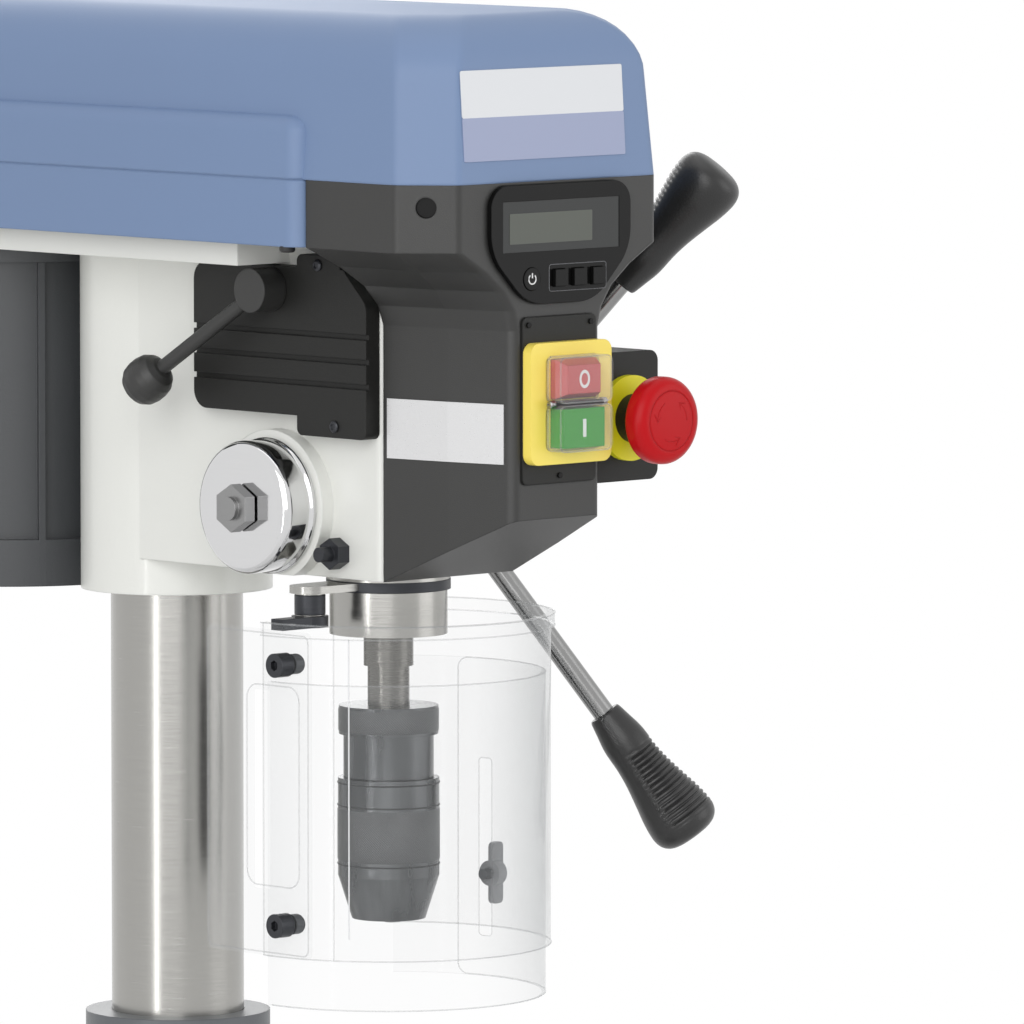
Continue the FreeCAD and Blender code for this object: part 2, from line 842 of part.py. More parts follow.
bearing_seat = quill_radius + wall
head = make_head()
write("head_casting", head)


# Front casing: narrow lower body that flares out to meet the cover.
flare_height_shares = (0, 0.25, 0.5, 0.75, 1)
flare_width_shares = (0, 0.07, 0.25, 0.57, 1)


def casing_section(share, z):
    """Plan of the casing between its narrow body and its wide band, with rounded corners."""
    narrow = [(casing_half_back, head_front), (casing_half_mid, casing_mid),
              (casing_half_front, casing_front)]
    wide = [(upper_half, upper_back), (upper_half, upper_chamfer),
            (upper_half_front, casing_front)]
    half = [(x0 + (x1 - x0) * share, f0 + (f1 - f0) * share)
            for (x0, f0), (x1, f1) in zip(narrow, wide)]
    points = half + [(-x, f) for x, f in reversed(half)]
    radii = (0, casing_edge, casing_edge, casing_edge, casing_edge, 0)
    return rounded_wire([V(x, fore(f), up(z)) for x, f in points], radii)


def casing_form():
    sections = [casing_section(width_share, flare_start + (flare_end - flare_start) * height_share)
                for height_share, width_share in zip(flare_height_shares, flare_width_shares)]
    flare = Part.makeLoft(sections, True, True)
    band = Part.Face(casing_section(1, flare_end)).extrude(V(0, 0, parting_height - flare_end))
    lower = Part.Face(casing_section(0, 0)).extrude(V(0, 0, flare_start))
    rise = underside_front / (casing_front - head_front)
    far = casing_front + overrun
    slope = [(0, -head_front * rise), (far, (far - head_front) * rise),
             (far, -underside_front), (0, -underside_front)]
    ring = [V(-throat, fore(f), up(z)) for f, z in slope + slope[:1]]
    wedge = Part.Face(Part.makePolygon(ring)).extrude(V(2 * throat, 0, 0))
    return lower.cut(wedge).multiFuse([flare, band]).removeSplitter()


def casing_cavity_form():
    """Room inside the casing: a shaft behind the front wall and a wide tray under the cover."""
    shaft = box(-casing_cavity, casing_cavity, fore(head_front - wall),
                fore(casing_front - wall), up(underside_front), up(parting_height + overrun))
    pocket = box(-display_cavity, display_cavity, fore(casing_front - 4 * wall),
                 fore(casing_front - wall), up(key_z - key_size), up(parting_height))
    tray = [(upper_half - wall, upper_back - wall), (upper_half - wall, upper_chamfer - wall),
            (upper_half_front - wall, casing_front - wall)]
    tray += [(-x, f) for x, f in reversed(tray)]
    tray_room = plate([(x, fore(f)) for x, f in tray], up(flare_end), up(parting_height + overrun))
    return shaft.multiFuse([pocket, tray_room])


def along_normal(side, depth):
    """Point on the chamfer's screw axis, a depth inside the face."""
    run_x, run_f = upper_half - upper_half_front, casing_front - upper_chamfer
    size = math.hypot(run_x, run_f)
    share = (casing_screw_f - upper_chamfer) / run_f
    x = upper_half - run_x * share - depth * run_f / size
    return V(side * x, fore(casing_screw_f - depth * run_x / size), up(casing_screw_z))


bezel_front = casing_front + wall
bezel_back = bezel_front - bezel_thickness
plate_front = casing_front - panel_recess + panel_thickness + plate_thickness
panel_front = plate_front - plate_thickness
window_front = bezel_front - wall / 10


def bezel_solid():
    half, foot = bezel_width / 2, bezel_foot_width / 2
    points = [(half, bezel_top), (half, bezel_shoulder), (foot, bezel_bottom),
              (-foot, bezel_bottom), (-half, bezel_shoulder), (-half, bezel_top)]
    radii = (bezel_corner, bezel_round, bezel_round, bezel_round, bezel_round, bezel_corner)
    ring = rounded_wire([V(x, fore(bezel_front), up(z)) for x, z in points], radii)
    return Part.Face(ring).extrude(V(0, bezel_thickness, 0))


casing_outer = casing_form()
bezel = bezel_solid()


def make_casing():
    shell = casing_outer.cut(casing_cavity_form())
    bosses = []
    holes = []
    for side in (-1, 1):
        bosses.append(rod(casing_screw_radius + wall, along_normal(side, wall / 2),
                          along_normal(side, 4 * wall)))
        holes.append(rod(casing_screw_radius, along_normal(side, -wall),
                         along_normal(side, 3 * wall)))
    panel_mid = (panel_bottom + panel_top) / 2
    holes += [
        panel(0, panel_mid, panel_width, panel_top - panel_bottom, wall, bezel_front,
              wall + panel_recess),
        box(plate_x - switch_block_width / 2, plate_x + switch_block_width / 2,
            fore(plate_front), fore(casing_front - 2 * wall),
            up(plate_z - switch_block_height / 2), up(plate_z + switch_block_height / 2)),
        box(-head_half_width, head_half_width, fore(0), fore(head_front), up(0), up(head_top)),
        bezel]
    bosses = [b.common(casing_outer) for b in bosses]
    return shell.multiFuse(bosses).cut(Part.makeCompound(holes[:2]).fuse(holes[2:]))


casing = make_casing()
write("front_casing", casing)

# Top cover: straight sides, slanted front corners, round behind the motor, drafted upwards
def cover_section(inset, z):
    half, front_half = upper_half - inset, upper_half_front - inset
    points = [(half, motor_y + half), (half, fore(upper_chamfer - inset)),
              (front_half, fore(casing_front - inset))]
    points += [(-x, y) for x, y in reversed(points)]
    edge = cover_edge
    radii = (half, edge, edge, edge, edge, half)
    return rounded_wire([V(x, y, up(z)) for x, y in points], radii)


def cover_form(inset, z0, z1, top_round):
    """Drafted body whose top edge rolls inwards along a quarter circle."""
    draft = cover_draft / (cover_height - parting_height)
    shoulder = z1 - top_round
    sections = [cover_section(inset + draft * (z0 - parting_height), z0)]
    for i in range(cover_round_steps + 1):
        turn = math.pi / 2 * i / cover_round_steps
        moved = draft * (shoulder - parting_height) + top_round * (1 - math.cos(turn))
        sections.append(cover_section(inset + moved, shoulder + top_round * math.sin(turn)))
    return Part.makeLoft(sections, True, True)


def skirt_form(half, front, z0, z1, top_round):
    """Deeper rear half of the cover, which hangs over the casting's deck."""
    block = box(-half, half, fore(front), motor_y, up(z0), up(z1))
    block = block.fuse(post(half, 0, motor_y, up(z0), up(z1))).removeSplitter()
    corners = [e for e in upright_edges(block) if e.BoundBox.YMin < fore(front) + overrun]
    block = block.makeFillet(top_round, corners)
    return block.makeFillet(top_round, edges_at(block, up(z1)))


def make_cover():
    bonnet = cover_form(0, parting_height, cover_height, cover_round)
    skirt = skirt_form(cover_rear_half, cover_bulge_front, cover_skirt, cover_bulge_top,
                       cover_bulge_round)
    outer = bonnet.fuse(skirt).removeSplitter()
    inner = cover_form(wall, parting_height - overrun, cover_height - wall, cover_round - wall)
    foot = skirt_form(cover_rear_half - wall, cover_bulge_front - wall, cover_skirt - overrun,
                      cover_bulge_top - wall, cover_bulge_round - wall)
    way_through = box(-upper_half + 2 * wall, upper_half - 2 * wall,
                      fore(cover_bulge_front + overrun), motor_y, up(cover_skirt - overrun),
                      up(cover_bulge_top))
    shell = outer.cut(inner).cut(foot).cut(way_through)
    clear_of_band = casing_outer.common(skirt)
    return shell.cut(clear_of_band) if clear_of_band.Volume > 0 else shell


write("top_cover", make_cover())

screws = [rod(casing_screw_radius - running_gap, along_normal(s, wall), along_normal(s, 2 * wall))
          for s in (-1, 1)]
screw_x = panel_width / 2 - screw_inset
for x, z in ((-screw_x, panel_top - screw_inset), (screw_x, panel_top - screw_inset),
             (0, panel_bottom + screw_inset)):
    screws.append(rod(wall / 2, V(x, fore(panel_front), up(z)),
                      V(x, fore(panel_front + wall / 3), up(z))))
write("casing_screws", screws)


# Display: bezel, window and four keys that travel.
def key_hole(x, reach, grow):
    half = key_size / 2 + grow
    return box(x - half, x + half, fore(reach), fore(bezel_back - wall),
               up(key_z) - half, up(key_z) + half)


window_pocket = box(-window_width / 2, window_width / 2, fore(bezel_front + overrun),
                    fore(bezel_front - window_depth), up(window_z - window_height / 2),
                    up(window_z + window_height / 2))
power_start = V(power_key_x, fore(bezel_back - wall), up(key_z))
power_end = V(power_key_x, fore(bezel_front + key_travel / 2), up(key_z))
openings = [window_pocket, rod(power_key_radius + key_gap, power_start, power_end)]
openings += [key_hole(x, bezel_front + overrun, key_gap) for x in key_xs]
write("display_bezel", bezel.cut(Part.makeCompound(openings)))
window = box(-window_width / 2, window_width / 2, fore(window_front),
             fore(bezel_front - window_depth), up(window_z - window_height / 2),
             up(window_z + window_height / 2))
write("display_window", window)
write("power_key", rod(power_key_radius, power_start, power_end))
for name, x in zip(("unit_key", "mode_key", "zero_key"), key_xs):
    write(name, key_hole(x, bezel_front + key_reach, 0))


# Switch: panel, block, yellow plate, two buttons and the clear cover over them.
def button(z, front, back, grow):
    half_x, half_z = button_width / 2 + grow, button_height / 2 + grow
    return box(plate_x - half_x, plate_x + half_x, fore(front), fore(back),
               up(z) - half_z, up(z) + half_z)


block_hole = box(plate_x - switch_block_width / 2, plate_x + switch_block_width / 2,
                 fore(plate_front), fore(panel_front - 2 * panel_thickness),
                 up(plate_z - switch_block_height / 2), up(plate_z + switch_block_height / 2))
panel_mid = (panel_bottom + panel_top) / 2
switch_panel = panel(0, panel_mid, panel_width, panel_top - panel_bottom, wall, panel_front,
                     panel_thickness)
switch_block = box(plate_x - switch_block_width / 2, plate_x + switch_block_width / 2,
                   fore(panel_front), fore(panel_front - switch_block_depth),
                   up(plate_z - switch_block_height / 2), up(plate_z + switch_block_height / 2))
write("switch_panel", [switch_panel.cut(block_hole), switch_block])
yellow = panel(plate_x, plate_z, plate_width, plate_height, plate_corner, plate_front,
               plate_thickness)
apertures = [button(z, plate_front + overrun, panel_front - overrun, seat_gap)
             for z in (stop_z, start_z)]
write("switch_plate", yellow.cut(Part.makeCompound(apertures)))
button_back = panel_front + button_travel + seat_gap
button_front = plate_front + button_reach


def button_ring(z, f, inset):
    half_x, half_z = button_width / 2 - inset, button_height / 2 - inset
    corners = [(half_x, half_z), (-half_x, half_z), (-half_x, -half_z), (half_x, -half_z)]
    ring = [V(plate_x + x, fore(f), up(z + h)) for x, h in corners + corners[:1]]
    return Part.makePolygon(ring)


stop_head = Part.makeLoft([button_ring(stop_z, plate_front + button_taper, 0),
                           button_ring(stop_z, button_front, button_taper)], True, True)
stop_foot = button(stop_z, plate_front + button_taper, button_back, 0)
write("stop_button", stop_foot.fuse(stop_head).removeSplitter())
write("start_button", button(start_z, button_front, button_back, 0))
boot_width = button_width + 2 * boot_border
boot_height = stop_z - start_z - boot_gap
boot_front = button_front + 2 * boot_wall
boots = []
for z in (stop_z, start_z):
    boot = panel(plate_x, z, boot_width, boot_height, boot_border, boot_front,
                 boot_front - plate_front)
    hollow = panel(plate_x, z, boot_width - 2 * boot_wall, boot_height - 2 * boot_wall,
                   boot_border - boot_wall, boot_front - boot_wall, boot_front)
    boots.append(boot.cut(hollow))
write("switch_cover", boots)

# Emergency stop: box on the casing's right side, collar and mushroom button
stop_block = box(0, estop_box_right, fore(estop_box_back), fore(estop_box_front),
                 up(estop_box_bottom), up(estop_box_top))
along = [e for e in stop_block.Edges
         if abs(e.tangentAt(e.FirstParameter).y) > 1 - shape_tolerance
         and e.BoundBox.XMin > estop_x]
stop_block = stop_block.makeFillet(2 * wall, along)
collar_back = V(estop_x, fore(estop_box_front), up(estop_z))
collar_front = V(estop_x, fore(estop_box_front + estop_ring_thickness), up(estop_z))
neck_front = V(estop_x, fore(estop_box_front + estop_neck_reach), up(estop_z))
stem_back = V(estop_x, fore(estop_box_front - estop_neck_reach), up(estop_z))
stop_block = stop_block.fuse(rod(estop_neck_radius, collar_back, neck_front))
stem_hole = rod(estop_stem_radius + running_gap,
                stem_back + V(0, estop_travel + overrun, 0), neck_front)
write("stop_box", stop_block.cut(casing_outer).cut(stem_hole))
ring = rod(estop_ring_radius, collar_back, collar_front)
write("stop_collar", ring.cut(rod(estop_neck_radius, collar_back, collar_front)))
cap_back = mushroom_reach - mushroom_thickness
cap_profile = [(0, -estop_neck_reach), (estop_stem_radius, -estop_neck_reach),
               (estop_stem_radius, cap_back), (mushroom_radius, cap_back),
               (mushroom_radius, mushroom_reach), (0, mushroom_reach)]
cap_radii = (0, 0, 0, mushroom_back_round, mushroom_front_round, 0)
write("stop_mushroom", turned_round(cap_profile, cap_radii, collar_back, forward))


# Side cover with grooves, and the speed lever that turns in it
def make_side_cover():
    outer_x = -head_half_width - side_cover_thickness
    low, high = side_cover_bottom - low_tab_height, side_cover_top + top_tab_height
    slope_f = side_cover_front - side_cover_slope
    outline = [(side_cover_back, side_cover_bottom, side_cover_corner),
               (tab_back, side_cover_bottom, 0), (tab_back, low, tab_corner),
               (side_cover_front, low, tab_corner),
               (side_cover_front, side_cover_top - side_cover_slope, side_cover_corner),
               (slope_f, side_cover_top, 0), (top_tab_front, side_cover_top, 0),
               (top_tab_front, high, tab_corner), (tab_back, high, tab_corner),
               (tab_back, side_cover_top, 0), (side_cover_back, side_cover_top, side_cover_corner)]
    ring = rounded_wire([V(outer_x, fore(f), up(z)) for f, z, _ in outline],
                        [radius for _, _, radius in outline])
    block = Part.Face(ring).extrude(V(side_cover_thickness, 0, 0))
    cutters = []
    step = (side_cover_top - side_cover_bottom) / 6
    for i in (1, 2, 3):
        z = side_cover_bottom + i * step + groove_width
        cutters.append(box(outer_x - overrun, outer_x + groove_depth,
                           fore(side_cover_front + overrun), fore(side_cover_back - overrun),
                           up(z), up(z + groove_width)))
    cutters.append(rod(speed_shaft_radius + running_gap,
                       V(outer_x - overrun, fore(speed_f), up(speed_z)),
                       V(0, fore(speed_f), up(speed_z))))
    return block.cut(Part.makeCompound(cutters))


write("side_cover", make_side_cover())
speed_rest = math.radians(35)
hub_in = -head_half_width - side_cover_thickness - seat_gap
hub_out = hub_in - speed_hub_length
speed_start = V(hub_out + speed_hub_length / 2, fore(speed_f), up(speed_z))
speed_end = V(hub_out - speed_rod_radius - wall,
              fore(speed_f) + speed_rod_length * math.cos(speed_rest),
              up(speed_z) - speed_rod_length * math.sin(speed_rest))
speed_shaft = rod(speed_shaft_radius, V(-quill_radius - 2 * wall, fore(speed_f), up(speed_z)),
                  V(hub_in, fore(speed_f), up(speed_z)))
speed_hub = rod(speed_hub_radius, V(hub_in, fore(speed_f), up(speed_z)),
                V(hub_out, fore(speed_f), up(speed_z)))
write("speed_lever", joined([speed_shaft, speed_hub, rod(speed_rod_radius, speed_start, speed_end),
                             ball_knob(speed_knob_radius, speed_end, speed_end - speed_start)]))


# Quill with its rack, bearings and splined spindle
rack_line = -feed_f - feed_pitch_radius
quill_low = quill_collar_top + quill_collar_height
rack_line_y = fore(-rack_line)
feed_tip = quill_radius - wall / 4 - rack_line


def make_quill():
    body = post(quill_radius, 0, fore(0), up(-quill_low), up(quill_top))
    collar = post(quill_collar_radius, 0, fore(0), up(-quill_low), up(-quill_collar_top))
    pitch = math.pi * feed_module
    flat_low = up(feed_rack_low)
    flat_high = flat_low + feed_rack_teeth * pitch + pitch
    flat = box(-quill_radius, quill_radius, rack_line_y + feed_tip, fore(-2 * quill_radius),
               flat_low, flat_high)
    below = int((feed_height - flat_low) / pitch)
    above = feed_rack_teeth - below
    spaces = rack_spaces(feed_module, below - 1, above - 1, feed_height, rack_line_y,
                         feed_tip + overrun, quill_radius)
    bore = post(quill_bore, 0, fore(0), up(-quill_low - overrun), up(quill_top + overrun))
    return body.fuse(collar).removeSplitter().cut(Part.makeCompound([flat, bore] + spaces))


write("quill", make_quill())

bearings = []
for z in (wall - quill_low, quill_top - bearing_width - wall):
    bearings.append(tube(quill_bore - running_gap, spindle_radius + running_gap, 0, fore(0),
                         up(z), up(z + bearing_width)))
write("quill_bearings", bearings)

key_count = 6
key_width = 4.0
key_root = 8.6
key_tip = 11.4
spline_overlap = 40.0
spindle_top = quill_top + quill_travel + spline_overlap


def spline(root, tip, width, z0, z1):
    core = post(root, 0, fore(0), z0, z1)
    rib = box(0, tip, fore(width / 2), fore(-width / 2), z0, z1)
    return core.multiFuse(around(rib, V(0, fore(0), 0), upward, key_count)).removeSplitter()


nose_profile = [(0, up(-arbor_drop - taper_depth)),
                (taper_tip_radius, up(-arbor_drop - taper_depth)),
                (taper_tip_radius + wall / 2, up(-arbor_drop)), (arbor_radius, up(-arbor_drop)),
                (arbor_radius, up(-nose_drop)), (nose_radius, up(-nose_drop)),
                (nose_radius, up(-quill_low - seat_gap)),
                (spindle_radius, up(-quill_low - seat_gap)),
                (spindle_radius, up(quill_top)), (0, up(quill_top))]
spindle = turned(nose_profile, 0, fore(0))
spindle = spindle.fuse(spline(key_root, key_tip, key_width, up(quill_top), up(spindle_top)))
write("spindle", spindle.removeSplitter())

# Keyless chuck: body with three slanted guides, a turning sleeve and three jaws
jaw_lean = math.radians(15)
jaw_radius = 4.5
jaw_face = 20.0
jaw_length = 44.0
jaw_drop = 190.0
jaw_foot = jaw_open_radius - jaw_face * math.tan(jaw_lean) + jaw_radius
core_radius = 24.0
core_tip_radius = 17.0
core_shoulder = 160.0
core_drop = 186.0
core_profile = [(0, up(-arbor_drop)), (chuck_ring_radius, up(-arbor_drop)),
                (chuck_ring_radius, up(-chuck_ring_drop)),
                (chuck_body_radius, up(-chuck_ring_drop)),
                (chuck_body_radius, up(-chuck_body_drop)),
                (core_radius, up(-chuck_body_drop)), (core_radius, up(-core_shoulder)),
                (core_tip_radius, up(-core_drop)), (0, up(-core_drop))]
jaw_direction = V(-math.sin(jaw_lean), 0, -math.cos(jaw_lean))


def jaw_bar(radius, extra):
    foot = V(jaw_foot, fore(0), up(-jaw_drop))
    return rod(radius, foot - jaw_direction * (jaw_length + extra), foot - jaw_direction * -wall)


def make_jaw():
    reach = jaw_travel * math.sin(jaw_lean)
    bar = jaw_bar(jaw_radius, 0).cut(post(jaw_open_radius, 0, fore(0), up(-chuck_drop - jaw_face),
                                          up(0)))
    far = sleeve_radius * 2
    wedge = plate([(reach, fore(0)), (reach + far, fore(far * math.sqrt(3))),
                   (reach + far, fore(-far * math.sqrt(3)))], up(-chuck_drop - jaw_face), up(0))
    slab = box(0, far, fore(far), fore(-far), up(-jaw_drop), up(0))
    return bar.common(wedge).common(slab)


guides = around(jaw_bar(jaw_radius + 2 * running_gap, wall), V(0, fore(0), 0), upward, 3)
core = turned(core_profile, 0, fore(0))
taper_hole = turned([(0, up(-arbor_drop - taper_depth)),
                     (taper_tip_radius, up(-arbor_drop - taper_depth)),
                     (taper_tip_radius + wall / 2, up(-arbor_drop)), (0, up(-arbor_drop))],
                    0, fore(0))
mouth = post(jaw_open_radius + wall / 2, 0, fore(0), up(-core_drop - overrun), up(-core_shoulder))
write("chuck_body", core.cut(Part.makeCompound(guides + [taper_hole]).fuse(mouth)))

sleeve_top = chuck_body_drop + seat_gap
sleeve_profile = [(core_radius + seat_gap, up(-sleeve_top)), (sleeve_radius, up(-sleeve_top)),
                  (sleeve_radius, up(-sleeve_drop)), (chuck_mouth_radius, up(-chuck_drop)),
                  (core_tip_radius + seat_gap, up(-chuck_drop)),
                  (core_tip_radius + seat_gap, up(-core_drop)),
                  (core_radius + seat_gap, up(-core_shoulder))]
write("chuck_sleeve", turned(sleeve_profile, 0, fore(0)))
for i, jaw in enumerate(around(make_jaw(), V(0, fore(0), 0), upward, 3)):
    write("chuck_jaw_" + str(i + 1), jaw)

# Feed shaft, hub, three raked handles, return spring and its cap
feed_centre = V(0, feed_y, feed_height)
feed_pinion = gear(feed_module, feed_teeth, feed_rack_width * 2, feed_centre, -math.pi)
journal = rod(feed_journal, V(-cap_inner_x, feed_y, feed_height),
              V(-feed_right, feed_y, feed_height))
core = rod(feed_shaft_radius - running_gap, V(-feed_right, feed_y, feed_height),
           V(hub_x + hub_length / 2, feed_y, feed_height))
stub = rod(feed_shaft_radius / 1.25, V(-cap_outer_x - cap_nut_height - wall, feed_y, feed_height),
           V(-cap_inner_x, feed_y, feed_height))
feed_shaft = joined([feed_pinion, journal, core, stub])
cap_nut = hexagon(cap_nut_radius, V(-cap_outer_x - seat_gap, feed_y, feed_height), -across,
                  cap_nut_height)
write("feed_shaft", [feed_shaft, cap_nut.cut(stub)])

hub_left = head_half_width + boss_reach / 2 + seat_gap
hub_right = hub_x + hub_length / 2
hub_profile = [(feed_shaft_radius, 0), (hub_radius - wall, 0), (hub_radius, wall),
               (hub_radius, hub_right - hub_left - 2 * wall),
               (hub_radius - 2 * wall, hub_right - hub_left),
               (feed_shaft_radius, hub_right - hub_left)]
hub_solid = turned_along(hub_profile, V(hub_left, feed_y, feed_height), across)
rake = math.radians(rod_angle)


def handle_direction(index):
    angle = math.radians(rod_first + 120 * index)
    return V(math.sin(rake), -math.cos(rake) * math.cos(angle), math.cos(rake) * math.sin(angle))


handle_root = V(hub_x, feed_y, feed_height)
rods = []
grips = []
sockets = []
grip_start = handle_length - grip_length
grip_neck_shares = (0.22, 0.42)
grip_swell_share = 0.78
for i in range(3):
    way = handle_direction(i)
    rods.append(rod(rod_radius, handle_root + way * (feed_shaft_radius + wall * 2),
                    handle_root + way * (handle_length - wall * 3)))
    sockets.append(rods[-1])
    profile = [(rod_radius, 0), (grip_small_radius, 0),
               (grip_neck_radius, grip_neck_shares[0] * grip_length),
               (grip_neck_radius, grip_neck_shares[1] * grip_length),
               (grip_large_radius, grip_swell_share * grip_length),
               (grip_end_radius, grip_length), (0, grip_length),
               (0, grip_length - wall * 3), (rod_radius, grip_length - wall * 3)]
    radii = (0, 0, 0, 0, 0, grip_end_round, 0, 0, 0)
    grips.append(turned_round(profile, radii, handle_root + way * grip_start, way))
write("feed_hub", hub_solid.cut(joined(sockets)))
write("feed_rods", rods)
write("feed_grips", grips)

cap_length = cap_outer_x - cap_inner_x
stub_radius = feed_shaft_radius / 1.25
cap_profile = [(cap_rim_radius, 0), (cap_rim_radius, cap_rim_width),
               (cap_radius, cap_rim_width + cap_wall / 2), (cap_radius, cap_length - cap_wall),
               (cap_radius - cap_wall, cap_length), (stub_radius + seat_gap, cap_length),
               (stub_radius + seat_gap, cap_length - cap_wall),
               (cap_radius - cap_wall, cap_length - cap_wall), (cap_radius - cap_wall, 0)]
write("spring_cap", turned_along(cap_profile, V(-cap_inner_x, feed_y, feed_height), -across))


def make_spring():
    """Flat strip wound outwards in half turns, clear of the shaft."""
    first = stub_radius + seat_gap
    last = cap_radius - cap_wall - spring_strip - seat_gap
    step = (last - first) / (2 * spring_turns)
    x = -cap_inner_x - cap_wall
    solids = []
    width = cap_length - 3 * cap_wall
    for side in (0, spring_strip):
        edges = []
        r = first + side
        centre = 0.0
        way = 1
        for i in range(2 * spring_turns):
            a = V(x, feed_y + centre + way * r, feed_height)
            b = V(x, feed_y + centre, feed_height + way * r)
            c = V(x, feed_y + centre - way * r, feed_height)
            edges.append(Part.Arc(a, b, c).toShape())
            centre += way * step / 2
            r += step / 2
            way = -way
        solids.append(edges)
    inner, outer = solids
    caps = [Part.LineSegment(inner[0].valueAt(inner[0].FirstParameter),
                             outer[0].valueAt(outer[0].FirstParameter)).toShape(),
            Part.LineSegment(inner[-1].valueAt(inner[-1].LastParameter),
                             outer[-1].valueAt(outer[-1].LastParameter)).toShape()]
    wire = Part.Wire(Part.__sortEdges__(inner + outer + caps))
    return Part.Face(wire).extrude(V(-width, 0, 0))


write("return_spring", make_spring())

gib_stud = rod(gib_stud_radius, V(-quill_radius - wall, fore(gib_f), up(gib_z)),
               V(-head_half_width - gib_stud_reach, fore(gib_f), up(gib_z)))
gib_nut = hexagon(gib_nut_radius, V(-head_half_width, fore(gib_f), up(gib_z)), -across,
                  gib_nut_height)
write("gib_screw", gib_stud.fuse(gib_nut).removeSplitter())

# Chuck guard: ring plate with a post, clear shield, sliding extension and side plate
guard_gap = seat_gap


def sector(outer, inner, start, end, z0, z1):
    """Ring sector; angles run from +X towards the front."""
    sweep = start - end
    solids = []
    for r in (outer, inner):
        part = Part.makeCylinder(r, z1 - z0, V(0, 0, z0), upward, sweep)
        part.rotate(V(0, 0, 0), upward, -start)
        part.translate(V(0, fore(0), 0))
        solids.append(part)
    return solids[0].cut(solids[1])


def radial(angle, radius, z):
    a = math.radians(angle)
    return V(radius * math.cos(a), fore(radius * math.sin(a)), up(z))


ring_bore = quill_radius + seat_gap
eye_radius = post_radius + wall / 1.5
ring = tube(ring_radius, ring_bore, 0, fore(0), up(-ring_height), up(0))
arm = box(-post_x, -ring_bore - wall, fore(ring_arm_half_width), fore(-ring_arm_half_width),
          up(-ring_arm_top - ring_arm_thickness), up(-ring_arm_top))
arm_end = post(ring_arm_half_width, -post_x, fore(0), up(-ring_arm_top - ring_arm_thickness),
               up(-ring_arm_top))
post_top = post(post_radius, -post_x, fore(0), up(-post_drop), up(-ring_arm_top))
pin_radius = post_radius / 1.6
eye_height = 6.0
pin = post(pin_radius, -post_x, fore(0), up(-post_drop - eye_height - seat_gap), up(-post_drop))
write("guard_ring", joined([ring, arm, arm_end, post_top, pin]))

stud_angle = -8.0
stud_z = -173.0
slot_half = 4.0
sheet_inner = guard_radius - guard_sheet
shield = sector(guard_radius, sheet_inner, guard_left, guard_right, up(-guard_bottom),
                up(-guard_top))
rim = sector(guard_radius + guard_rim / 2, sheet_inner, guard_left, guard_right,
             up(-guard_top - guard_rim_height), up(-guard_top))
shield = shield.fuse(rim).removeSplitter()
stud_bore = rod(guard_bolt_radius + running_gap, radial(stud_angle, 0, stud_z),
                radial(stud_angle, guard_radius + wing_span, stud_z))
write("guard_shield", shield.cut(stud_bore))

extension_outer = sheet_inner - guard_gap
extension = sector(extension_outer, extension_outer - guard_sheet + running_gap * 10,
                   guard_left - 2, guard_right + 2, up(-extension_bottom), up(-extension_top))
slot_cut = sector(guard_radius, extension_outer - guard_sheet * 2, stud_angle + 3,
                  stud_angle - 3, up(stud_z - extension_rise - slot_half),
                  up(stud_z + extension_drop + slot_half))
write("guard_extension", extension.cut(slot_cut))

plate_in = -guard_radius - guard_sheet
plate_out = plate_in - guard_sheet
side_front = 38.0
bolt_f = 19.0
slot_f = 5.0
side_plate = box(plate_in, plate_out, fore(side_front), fore(-side_plate_back),
                 up(-side_plate_bottom), up(-side_plate_top))
corners = [e for e in side_plate.Edges if abs(e.tangentAt(e.FirstParameter).x) > 0.5]
side_plate = side_plate.makeFillet(guard_rim, corners)
side_slot = box(plate_in + overrun, plate_out - overrun, fore(slot_f),
                fore(slot_f - side_plate_slot_width), up(-side_slot_bottom), up(-side_slot_top))
bolt_zs = (-guard_bolt_top, -guard_bolt_bottom)
bolt_shafts = [rod(guard_bolt_radius, V(plate_out - wall, fore(bolt_f), up(z)),
                   V(-post_x, fore(bolt_f), up(z))) for z in bolt_zs]
write("guard_plate", side_plate.cut(Part.makeCompound([side_slot] + bolt_shafts)))

fixings = []
shield_core = post(guard_radius, 0, fore(0), up(-guard_bottom), up(0))
for z, shaft in zip(bolt_zs, bolt_shafts):
    spacer = rod(guard_bolt_radius + guard_sheet, V(plate_in, fore(bolt_f), up(z)),
                 V(-post_x, fore(bolt_f), up(z)))
    bolt_head = rod(guard_bolt_head, V(plate_out - guard_bolt_reach, fore(bolt_f), up(z)),
                    V(plate_out, fore(bolt_f), up(z)))
    socket = hexagon(guard_bolt_radius, V(plate_out - guard_bolt_reach, fore(bolt_f), up(z)),
                     across, wall)
    fixings.append(joined([spacer, bolt_head, shaft]).cut(shield_core).cut(socket))
stud = rod(guard_bolt_radius, radial(stud_angle, sheet_inner - wall, stud_z),
           radial(stud_angle, guard_radius + wing_span / 1.7, stud_z))
fixings.append(stud)
eye_top = up(-post_drop - seat_gap)
eye = post(eye_radius, -post_x, fore(0), eye_top - eye_height, eye_top)
strap = box(-guard_radius, -post_x, fore(post_radius), fore(-post_radius / 8),
            eye_top - eye_height, eye_top)
hinge_arm = eye.fuse(strap).common(post(sheet_inner, 0, fore(0), up(-guard_bottom), up(0)))
hinge_arm = hinge_arm.cut(post(pin_radius + running_gap, -post_x, fore(0), up(-guard_bottom),
                               up(0)))
fixings.append(hinge_arm)
write("guard_fixings", fixings)

